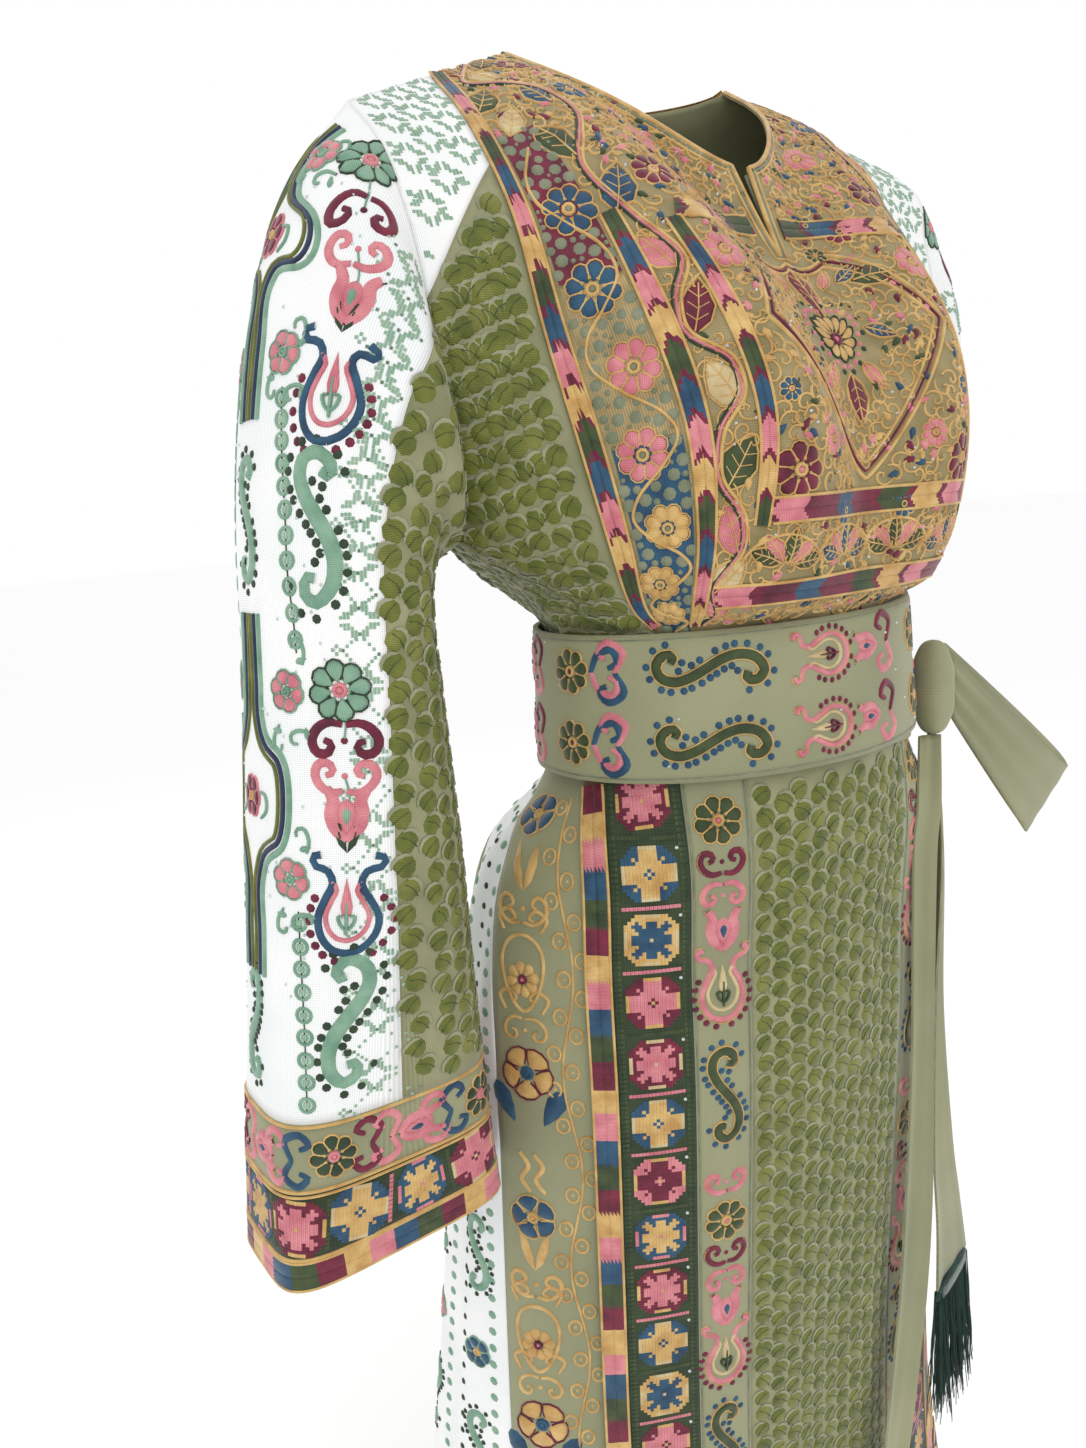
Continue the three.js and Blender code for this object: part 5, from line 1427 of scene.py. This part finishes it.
for z in MOTIF_ROWS:
    for k in range(3):
        base = FIRST + k * PERIOD
        flower(work, (on_belt(base), z), 13, "green", "gold", 8, "gold", 0.2, "burgundy")
        for sign, low, high in ((-1, "pink", "blue"), (1, "blue", "pink")):
            belt_hook(base + 0.17, z, SNAIL, sign, low)
            belt_hook(base + 0.29, z, HOOK, sign, high)
        place = (on_belt(base + 0.76), z)
        s_shape(work, place, 0.74, SIDEWAYS - 0.12, "green", "blue", "gold", mirror=bool(k % 2))
        drop(work, (on_belt(base + 1.30), z), 0.6, SIDEWAYS, "pink", "cream", "burgundy", "burgundy", "gold")
        tulip(work, (on_belt(base + 1.57), z), 0.64, SIDEWAYS, "pink", "blue", "gold")
        for sign, thread in ((-1, "pink"), (1, "burgundy")):
            belt_hook(base + 1.74, z, HOOK, sign, thread)
for row_z in EDGE_ROWS:
    stem(work, [(a, row_z) for a in np.linspace(-3.13, 3.13, 9)], "grey_sage", 0.5, 160, 0.4)
for a, z in zip(rng.uniform(-3.1, 3.1, 60), rng.uniform(-420, -345, 60)):
    work.dot((a, z), 0.9, "crystal", 0.9, 6)
work.make("belt_embroidery")

# %% The cuffs
STARS = 11
STAR_ROW, FLOWER_ROW, RIBBON_ROW = 8.48, 7.935, 8.88
STAR_TURN, FLOWER_TURN = 0.207, 0.366  # where the first of each sits round the arm


def cuff_chart(cloth):
    """The cuff charted in millimetres round the arm, so the counted stitches stay square."""
    turns = np.linspace(-0.5, 1.5, 900)
    places, _ = cloth.lay(turns, np.full(900, 8.4))
    run = run_of(places)
    chart = Cloth(np.linspace(0, run[-1], 360), np.linspace(7.62, 9.0, 22),
                  lambda mm, row: cloth.lay(np.interp(mm, run, turns), row)[0], (), cloth.flip)
    return chart, run[-1], *(float(np.interp(turn, turns, run)) for turn in (STAR_TURN, FLOWER_TURN))


STRIP_BLOCKS = ["burgundy", "gold", "pink", "blue", "green"]
CUFF_MOTIFS = [(0, "flower"), (-21, "blue"), (21, "burgundy"), (34, "pink"), (-34, "pink"), (55, "tulip")]
SCHEMES = [(("pink", "burgundy", "gold"), 0), (("gold", "blue", "cream"), 1), (("gold", "blue", "pink"), 0),
           (("pink", "burgundy", "cream"), 1)]
for side, cloth in sleeves.items():
    chart, hem, star_at, flower_at = cuff_chart(cloth)
    work = Stitching(chart)
    round_ = np.linspace(0, hem, 220)
    for k in range(4):
        middle = (flower_at + (k - 1) * hem / 4) % hem
        for away, what in CUFF_MOTIFS:
            place = ((middle + away) % hem, FLOWER_ROW)
            if not 13 < place[0] < hem - 13:
                continue
            if what == "flower":
                flower(work, place, 12.5, "dark_green", "pink", 8, "gold", 0.2, "pink")
            elif what == "tulip":
                tulip(work, place, 0.7, -math.pi / 2, "pink", "blue", "gold")
            else:
                for up_ in (-1, 1):
                    draw(work, place, HOOK * [np.sign(away), up_], 1.8, what, 0, 1.15, 14)
    for v, half in ((7.69, 0.9), (8.18, 0.9), (8.22, 0.7), (8.74, 0.8)):
        work.stroke(np.stack([round_, np.full(220, v)], 1), half, "gold", 1.2)
    pitch = hem / STARS
    for k in range(STARS):
        middle = (star_at + k * pitch) % hem
        if 18 < middle < hem - 18:
            block_star(work, (middle, STAR_ROW), 33, *SCHEMES[k % 4])
        for dv in np.linspace(-0.2, 0.2, 11):
            stitch(work, ((middle + pitch / 2) % hem, STAR_ROW + dv), 1.2, "pink" if k % 2 else "green")
    ribbon(work, np.stack([round_, np.full(220, RIBBON_ROW)], 1), 8.4, 15.0, STRIP_BLOCKS, 0, 0.1)
    work.make(f"cuff_embroidery_{side}")

# %% The strips of the skirt
STRIP_PERIOD, STRIP_TOP, STRIP_LAST = 262, -449, -1370
STAR_PITCH, STAR_TOP, STAR_LAST = 39.6, -436.5, -1385
STRIP_MIDDLE, STAR_MIDDLE, BLOCKS_MIDDLE = 89, 131.5, 163.0  # round from the centre front
STRIP = [
    (flower, 0, (14, "green", "gold", 8, "gold", 0.2, "pink"), {}),
    (scrolls, -24, ("burgundy", 0.74), {"edge": "gold"}),
    (scrolls, -44, ("pink", 0.7), {"edge": "gold", "upside": True}),
    (tulip, -66, (0.8, 0, "pink", "blue", "gold"), {}),
    (drop, -101, (0.7, 0, "pink", "cream", "green", "burgundy", "gold"), {}),
    (s_shape, -174, (0.72, 0, "green", "blue", "gold"), {}),
    (scrolls, -234, ("pink", 0.72), {"edge": "gold"}),
]
STAR_COLOURS = [
    (("pink", "burgundy", "gold"), 0), (("gold", "blue", "cream"), 1), (("blue", "gold", "cream"), 0),
    (("pink", "burgundy", "gold"), 1), (("pink", "burgundy", "cream"), 0), (("gold", "blue", "cream"), 1),
    (("burgundy", "pink", "gold"), 1), (("gold", "blue", "pink"), 0),
]
for side, sign in (("right", -1), ("left", 1)):
    work = Stitching(skirt_front)
    for top in STRIP_TOP - STRIP_PERIOD * np.arange(4):
        for motif, down, values, named in STRIP:
            if top + down >= STRIP_LAST:
                turned_over = {"mirror": sign > 0} if motif is s_shape else {}
                motif(work, (sign * STRIP_MIDDLE, top + down), *values, **named, **turned_over)
    for edge_x in (71.5, 106.5):
        stem(work, [(sign * edge_x, z) for z in np.linspace(-428, -1396, 12)], "grey_sage", 0.6, 200, 0.6)
    work.make(f"strip_embroidery_{side}")
    work = Stitching(skirt_front)
    middle = sign * STAR_MIDDLE
    for k, z in enumerate(np.arange(STAR_TOP, STAR_LAST, -STAR_PITCH)):
        block_star(work, (middle, z), 32, *STAR_COLOURS[k % 8])
        for x in np.arange(-16, 17, 2.3):
            stitch(work, (middle + x, z - STAR_PITCH / 2), 1.1, "pink" if k % 3 else "green", 0.7)
        for x in (-19, 19):
            for dz in np.arange(-19, 20, 3.2):
                stitch(work, (middle + x, z + dz), 1.1, "green", 0.6)
                stitch(work, (middle + x * 1.12, z + dz), 1.0, "dark_green", 0.5)
        work.dot((middle + 17, z + 14), 1.1, "crystal", 1.0, 6)
    work.make(f"cross_stitches_{side}")
    work = Stitching(skirt_front)
    path = np.stack([np.full(260, sign * BLOCKS_MIDDLE), np.linspace(-430, -1398, 260)], 1)
    ribbon(work, path, 7.6, 17.0, STRIP_BLOCKS, 0, 0.1)
    work.make(f"colour_strip_{side}")

# %% The sage panels and the godets
def wedge(start, end, columns, sign=1):
    """A skirt panel charted from edge to edge, 0 to 1, at each height."""
    return Cloth(np.linspace(0, 1, columns), np.linspace(WAIST_SEAM, HEM, 200),
                 lambda t, z: skirt(sign * lerp(start(z), end(z), t), z), (), sign)


def sage_edge(z):
    return SAGE_EDGE + 0 * z


FLOWERS_LAST = -1360
for side, sign in (("right", -1), ("left", 1)):
    work = Stitching(under_sage)
    vine = [(sign * (184 + 5 * math.sin(k * 1.05)), -440 - k * 22) for k in range(44)]
    stem(work, vine, "gold", 0.8, 300, 0.9)
    for k in range(80):
        s_ = 1 if k % 2 else -1
        z = -446 - k * 11.9
        if z < LEAVES_END:
            continue
        centre = (sign * (184 + 5 * math.sin((-440 - z) / 22 * 1.05)) + s_ * 6.2, z)
        work.line(centre, circle(10, [4.2, 5.0], True), 0.8, "gold", 1.0, closed=True)
        work.dot(centre, 1.1, "gold", 0.8, 6)
    for k in range(4):
        z, x = -452 - k * 250, sign * 213
        flower(work, (x, z), 15, "blue", "gold", 5, "gold", 0.3)
        leaf_pair(work, (x, z - 38), "gold", 1.15)
        scrolls(work, (x, z - 48), "gold", 0.95, width=1.5)
        a = np.linspace(0, 2 * math.pi, 29)
        frame_ = np.stack([np.sin(a) * 18 * (0.55 + 0.45 * np.cos(a / 2) ** 2), np.cos(a) * 24], 1)
        work.line((x, z - 88), frame_, 1.2, "gold", 1.2, closed=True)
        for s_ in (-1, 1):
            for dz in (-62, -112):
                draw(work, (x + s_ * 13, z + dz), HOOK * [s_, 1], 1.2, "gold", 0, 1.0, 14)
        scrolls(work, (x, z - 124), "gold", 0.8, width=1.4, upside=True)
        flower(work, (x, z - 92), 11.5, "gold", "burgundy", 8, None, 0.2, "pink")
        flower(work, (x, z - 152), 17, "gold", "blue", 5, "burgundy", 0.6, "blue")
        for s_ in (-1, 1):
            work.pad((x + s_ * 10, z - 186), petal(28, 7), "blue", 1.2, -s_ * 0.5)
            draw(work, (x + s_ * 5, z - 218), [(-3, 12), (3, 4), (-2, -6), (4, -14)], 1.6, "gold", 0, 1, 14)
    work.make(f"sage_embroidery_{side}")
    work = Stitching(wedge(sage_edge, godet_end, 60, sign))
    for t, thread, radius in (
        (0.10, "seafoam", 3.2), (0.30, "dark_green", 2.3), (0.52, "seafoam", 3.2), (0.78, "seafoam", 3.2),
    ):
        for z in np.arange(-446, LEAVES_END, -12.5):
            crowded = (godet_end(z) - SAGE_EDGE) * 0.2 < 7
            if not (crowded and t in (0.30, 0.78)):
                work.dot((t, z), radius, thread, 0.9)
    for t in (0.2, 0.65):
        for k, z in enumerate(np.arange(-520, FLOWERS_LAST, -74)):
            if (godet_end(z) - SAGE_EDGE) * 0.3 < 26:
                continue
            if k % 2:
                s_shape(work, (t, z), 0.62, mirror=t > 0.5)
            else:
                flower(work, (t, z), 10.5, "pink" if t > 0.5 else "blue", "gold", 6, "seafoam", 0.3)
    for z in np.arange(-880, FLOWERS_LAST, -150):
        flower(work, (0.88, z), 13, "burgundy", "gold", 8, "pink", 0.3)
    work.make(f"godet_embroidery_{side}")

    work = Stitching(wedge(godet_end, side_back_end, 24, sign))
    stem(work, [(0.3 + 0.1 * math.sin(k), -445 - k * 24) for k in range(40)], "gold", 0.8, 240, 0.9)
    for k in range(7):
        flower(work, (0.68, -470 - k * 135), 11, "blue" if k % 2 else "burgundy", "gold", 5, "gold", 0.3)
        scrolls(work, (0.68, -520 - k * 135), "gold", 0.7, width=1.2)
    work.make(f"side_back_embroidery_{side}")

# %% Leaves on the skirt's back
work = Stitching(wedge(side_back_end, round_the_back, 140))
for j, z in enumerate(np.arange(-442, LEAVES_END, -16.5)):
    wide = float(2 * (half_round(np.array([z]))[0] - side_back_end(np.array([z]))[0]))
    count = max(3, int(wide / 17.5))
    for i in range(count):
        side_ = 1 if (i + j) % 2 else -1
        place = ((i + 0.5) / count, z - (8 if i % 2 else 0))
        if place[1] >= LEAVES_END + 1:
            leaf(work, place, rng.uniform(7.8, 8.7) * 0.92, side_ * 0.95, side_, False)
work.make("skirt_back_leaves")

# %% [markdown]
# ## The chest panel
#
# The chest is the richest part, and almost no ground shows. Large flowers stand on a ground of small pebbles
# beside the outer ribbon, leaf sprigs climb between the inner ribbons, and a diamond fills the middle. The
# space that is left is filled with small gold curls. The big shapes are placed one by one, the fill by a seeded
# rule that keeps clear of them.

# %% Chest embroidery
work = Stitching(front)
taken = []  # centres and radii, in millimetres, of what is already stitched


def on_chest(place):
    return front.lay(*map(np.array, place))[0]


def claim(place, radius):
    taken.append((*on_chest(place), radius))


def clear(point, radius):
    t = np.asarray(taken).reshape(-1, 4)
    return not len(t) or bool((np.linalg.norm(t[:, :3] - point, axis=1) > t[:, 3] + radius).all())


def ground(u0, u1, rows, thread, height=0.3):
    """A flat fill of thread on part of the panel."""
    points, _, marks = rows_columns(front, between(u0, u1), rows, 7, height, FRONT_MM, ROW_MM)
    faces = grid_faces(len(rows), 7)[:, :: (1 if u1 > u0 else -1)]
    work.add(points.reshape(-1, 3), faces, thread, marks.reshape(-1, 2))


def bloom(rows):
    """The same flower on both sides of the chest, for each (across, row, radius, thread)."""
    for u, row, radius, thread in rows:
        for sign in (-1, 1):
            flower(work, (sign * u, row), radius, thread, "gold", 8, "gold", 0.2, "pink")
            claim((sign * u, row), radius)


BLADE = np.array([(0, -11), (4.2, -5), (5.2, 2), (3, 8), (0, 13), (-3.4, 8), (-5.6, 2), (-4.4, -5)])


def sprig(place, turn, thread, size=1.0, edge="gold", wide=1.0):
    """A veined leaf: a padded blade in gold outline with a gold midrib."""
    blade = BLADE * size * [wide, 1]
    work.pad(place, blade, thread, 1.2, turn)
    lines = [(np.concatenate([blade, blade[:1]]) * 1.08, 0.6, 1.1, 0.0, True)]
    lines.append(([(0, -10 * size), (0.4, 0), (0, 11 * size)], 0.45, 0.7, 1.0, False))
    for y in (-5, 0, 5):
        for s_ in (-1, 1):
            lines.append(([(0, y * size), (s_ * 3.4 * size * wide, (y + 3) * size)], 0.3, 0.5, 0.95, False))
    for path, half, height, lift, closed in lines:
        work.line(place, path, half, edge, height, turn, lift=lift, closed=closed)
    claim(place, 7.5 * size)


# Tables: places across and down the panel, then colour and size.
ZONE = [
    (0.551, 6.04, "blue", 15.2), (0.565, 7.15, "blue", 15.6), (0.548, 8.3, "pink", 15.0),
    (0.572, 9.57, "pink", 14.5), (0.555, 10.8, "gold", 12.5), (0.58, 12.2, "gold", 11),
    (0.57, 13.6, "gold", 9),
]
CLIMB = np.array([
    (0.52, 0.1), (0.585, 1.2), (0.49, 2.4), (0.42, 3.4), (0.4, 4.3), (0.43, 5), (0.475, 5.5), (0.445, 6.3),
    (0.41, 6.9), (0.452, 7.5), (0.46, 7.9), (0.414, 8.4), (0.413, 8.9), (0.455, 9.5), (0.462, 10.1),
    (0.42, 10.8), (0.414, 11.4), (0.455, 12.4), (0.43, 13.6), (0.45, 14.6),
])
SPRIGS = [
    (0.6, 0.4, "burgundy", 0.9), (0.474, 0.5, "green", 1), (0.52, 1.5, "cream", 1), (0.594, 2.77, "green", 1.2),
    (0.456, 3.46, "blue", 1), (0.56, 4, "cream", 1), (0.497, 5, "green", 1.3), (0.447, 5.94, "blue", 1.35),
    (0.448, 6.85, "pink", 1.1), (0.436, 7.65, "burgundy", 1.25), (0.437, 8.8, "cream", 1.3),
    (0.437, 10, "green", 1.3), (0.438, 11.15, "pink", 1.15), (0.437, 12.2, "cream", 1.1),
    (0.438, 13.4, "pink", 0.9),
]
GROUNDS = [(4.4, 7.0, 30, "burgundy"), (7.05, 9.35, 30, "old_gold"), (9.4, 15.0, 50, "blue")]
PEBBLES = 11000  # tries, the largest first
for sign in (-1, 1):
    for first, last, count, thread in GROUNDS:
        ground(sign * 0.512, sign * 0.615, np.linspace(first, last, count), thread)
    for i, (u, row, thread, radius) in enumerate(ZONE):
        first = "green" if (sign > 0 and i == 0) else thread
        flower(work, (sign * u, row), radius * 0.95, first, "gold", 8, "gold", 0.3, "grey_sage")
        claim((sign * u, row), radius * 0.95)
    vine = [(sign * (0.563 + 0.046 * math.sin((r - 5.0) * 2.55)), r) for r in np.linspace(5.0, 15.0, 26)]
    stem(work, vine, "gold", 1.0, 240, 1.5)
    spots = np.stack([sign * rng.uniform(0.515, 0.613, PEBBLES), rng.uniform(4.4, 14.9, PEBBLES)], 1)
    centres, _ = front.lay(spots[:, 0], spots[:, 1])
    for place, centre, radius in zip(spots, centres, np.sort(rng.uniform(1.2, 3.9, PEBBLES))[::-1]):
        if clear(centre, radius * 1.02):
            work.dot(tuple(place), radius, "grey_sage", 1.2, 8)
            taken.append((*centre, radius))
    scale = np.array([FRONT_MM, ROW_MM])
    for offset, thread, half in ((0, "gold", 1.1), (1.56, "pink", 0.9), (2.76, "dark_green", 0.7)):
        path = path_through(CLIMB * [sign, 1] * scale, 300)
        work.stroke((path - beside(path) * offset) / scale, half, thread, 1.3)
    for i, (u, row, thread, size) in enumerate(SPRIGS):
        lean = 0.5 if i % 2 else -0.35
        sprig((sign * u, row), sign * lean, thread, size * (0.95 if row > 6 else 1), wide=1.35)

# The yoke, above the upper ribbons.
bloom([
    (0.345, 5.6, 12.5, "burgundy"), (0.24, 3.1, 11, "pink"), (0.4, 1.1, 11, "burgundy"),
    (0.13, 3.6, 8, "green"), (0.36, 3.2, 10, "blue"),
])

# The middle: a diamond of gold lines round a rosette of round petals, rings of knots and four sprigs.
CENTRE = (0.0, 6.1)
CORNERS = np.array([(0.0, 3.35), (0.325, 7.7), (0.0, 9.3), (-0.325, 7.7)])
sides = list(zip(CORNERS, np.roll(CORNERS, -1, axis=0)))
for share, thread, half in ((1.0, "gold", 1.1), (0.94, "burgundy", 0.7), (0.88, "gold", 0.9)):
    for a, b in sides:
        side = lerp(a, b, np.linspace(0, 1, 24)[:, None])
        work.stroke(lerp(np.array(CENTRE), side, share), half, thread, 1.3)
for a, b in sides:
    for t in np.linspace(0.05, 0.95, 9):
        claim(lerp(a, b, t), 4.2)
flower(work, CENTRE, 15, "gold", "burgundy", 12, "dark_green", 0.0, "pink")
for ring_radius, number, thread, radius in ((18.5, 22, "pink", 1.8), (22.5, 18, "dark_green", 1.9)):
    for spot in work.cloth.chart(CENTRE, circle(number, ring_radius)):
        work.dot(spot, radius, thread, 1.0, 6)
claim(CENTRE, 24)


def rayed(angle, reach, thread, size, wide):
    """A sprig that points away from the middle."""
    spot = work.cloth.chart(CENTRE, [(math.sin(angle) * reach, math.cos(angle) * reach)])[0]
    sprig(tuple(spot), -angle, thread, size, wide=wide)


for k in range(4):
    angle = k * math.pi / 2
    rayed(angle, 44 if k % 2 else 39, "green" if k % 2 else "burgundy", 1.15, 1.2)
    for beside_ in (-0.5, 0.5):
        rayed(angle + beside_, 35, "blue" if k % 2 else "pink", 0.8, 1.0)
bloom([
    (0.325, 6.75, 12.5, "pink"), (0.19, 5.3, 9.5, "burgundy"), (0.318, 10.1, 14, "burgundy"),
    (0.21, 9.3, 8, "pink"), (0.12, 10.3, 8, "blue"), (0.10, 4.4, 6.5, "green"), (0.335, 8.9, 6, "blue"),
])

# Below the middle ribbon: fans of leaves under small arches.
for u, thread in ((-0.30, "green"), (-0.10, "blue"), (0.10, "green"), (0.30, "blue")):
    row = row_at_height(u, -301)
    for k, a in enumerate((-1.35, -0.75, 0.0, 0.75, 1.35)):
        spot = work.cloth.chart((u, row), [(math.sin(a) * 12, math.cos(a) * 7 - 3)])[0]
        sprig(tuple(spot), -a, thread if k % 2 == 0 else "pink", 0.78, wide=1.2)
    arch = [(math.sin(a) * 24, math.cos(a) * 16 - 5) for a in np.linspace(-1.6, 1.6, 20)]
    work.line((u, row), arch, 0.9, "gold", 1.2)

# %% Gold curls in what is left of the ground
# Parts of the chart where no curl goes: nearest and farthest across, first and last row.
FULL = [
    (0.617, 0.672, 0, 16), (0.462, 0.512, 6.0, 16), (0.364, 0.41, 6.2, 11.6), (0.505, 1, 4.9, 16),
    (-1, 0.05, 0, 3.2),
]
# The level ribbons: how far across they reach, highest and lowest.
LEVEL = [(0.375, -112, -129), (0.375, -268, -286), (0.46, -312, -329), (1, -336, -400)]
CURL = np.array([(-5, -4), (-1, -4.6), (3.2, -2), (3.6, 2), (0.6, 3.6), (-1.6, 1.6), (-0.4, 0)])
LEAF_THREADS = ["pink", "green", "blue", "burgundy", "pink", "gold"]
CURLS, TRIES = 821, 15000


def bare(u, row):
    if any(near < abs(u) < far and first < row < last for near, far, first, last in FULL):
        return False
    point = on_chest((u, row))
    if any(abs(u) < far and low < point[2] < high for far, high, low in LEVEL):
        return False
    return clear(point, 3.6)


made = 0
for _ in range(TRIES):
    place = u, row = rng.uniform(-0.612, 0.612), rng.uniform(0.15, 15.6)
    if not bare(u, row):
        continue
    turn = rng.uniform(0, 2 * math.pi)
    hand = rng.choice([-1, 1])
    draw(work, place, CURL * [hand, 1], 0.62, "gold", turn, 1.0, 10, 1.0)
    if rng.random() < 0.62:
        work.pad(place, petal(7.0, 2.1, 3.2), LEAF_THREADS[made % 6], 1.1, turn + hand * 1.9)
    if rng.random() < 0.2:
        work.dot((u + 0.012, row + 0.12), 0.9, "crystal", 1.2, 6)
    claim(place, 2.6)
    made += 1
    if made == CURLS:
        break
work.make("chest_embroidery")

# %% [markdown]
# ## Floor, light and camera
#
# The dress stands in a plain pale room with large soft lamps, so the light wraps round each fold and the
# raised thread still casts a small shade.

# %% The room


def room():
    reach, under_hem = 30.0, -1.402
    floor = bpy.data.meshes.new("floor")
    corners = [(x * reach, y * reach, under_hem) for x, y in ((-1, -1), (1, -1), (1, 1), (-1, 1))]
    floor.from_pydata(corners, [], [(0, 1, 2, 3)])
    obj = bpy.data.objects.new("floor", floor)
    bpy.context.scene.collection.objects.link(obj)
    material = bpy.data.materials.new("pale_floor")
    material.use_nodes = True
    nodes, links = material.node_tree.nodes, material.node_tree.links
    noise, ramp = nodes.new("ShaderNodeTexNoise"), nodes.new("ShaderNodeValToRGB")
    noise.inputs["Scale"].default_value = 3
    ramp.color_ramp.elements[0].color = (0.96, 0.96, 0.96, 1)
    ramp.color_ramp.elements[1].color = (0.985, 0.985, 0.985, 1)
    links.new(noise.outputs["Fac"], ramp.inputs["Fac"])
    shader = nodes["Principled BSDF"]
    links.new(ramp.outputs["Color"], shader.inputs["Base Color"])
    shader.inputs["Roughness"].default_value = 0.9
    floor.materials.append(material)


def lamp(name, place, target, size, power):
    data = bpy.data.lights.new(name, "AREA")
    data.shape, data.size, data.energy = "SQUARE", size, power
    obj = bpy.data.objects.new(name, data)
    obj.location = place
    way = np.asarray(target, float) - place
    turn = math.atan2(way[0], -way[1])
    obj.rotation_euler = (math.acos(-way[2] / np.linalg.norm(way)), 0, turn + math.pi)
    bpy.context.scene.collection.objects.link(obj)


room()
MIDDLE = (0, -0.05, -0.5)
lamp("key", (-1.6, -2.6, 1.6), MIDDLE, 2.2, 22)
lamp("fill", (2.4, -2.2, 0.6), MIDDLE, 2.4, 6)
lamp("side", (-3.0, 0.2, 0.2), MIDDLE, 2.0, 5)
lamp("behind", (1.2, 2.8, 1.4), MIDDLE, 2.2, 9)
world = bpy.data.worlds.new("pale_room")
bpy.context.scene.world = world
world.use_nodes = True
world.node_tree.nodes["Background"].inputs["Color"].default_value = (1.0, 1.0, 1.0, 1)
world.node_tree.nodes["Background"].inputs["Strength"].default_value = 1.0
bpy.context.scene.view_settings.view_transform = "Standard"

# %% The camera
CAMERA = np.array([-0.495744, -0.577958, -0.260098])
YAW, PITCH, ROLL, FOCAL_PIXELS, PIXELS_HIGH = 0.5832, 0.2044, -0.0829, 1096.78, 1448
ahead = np.array([math.sin(YAW) * math.cos(PITCH), math.cos(YAW) * math.cos(PITCH), -math.sin(PITCH)])
right = np.array([math.cos(YAW), -math.sin(YAW), 0])
up = np.cross(right, ahead)
right, up = math.cos(ROLL) * right + math.sin(ROLL) * up, -math.sin(ROLL) * right + math.cos(ROLL) * up
lens = bpy.data.cameras.new("camera")
SENSOR = 36.0
lens.sensor_fit, lens.sensor_height, lens.sensor_width = "VERTICAL", SENSOR, SENSOR * 3 / 4
lens.lens = SENSOR * FOCAL_PIXELS / PIXELS_HIGH
lens.clip_start, lens.clip_end = 0.01, 100
camera = bpy.data.objects.new("camera", lens)
camera.matrix_world = Matrix(np.vstack([np.stack([right, up, -ahead, CAMERA], 1), [0, 0, 0, 1]]).tolist())
bpy.context.scene.collection.objects.link(camera)
bpy.context.scene.camera = camera
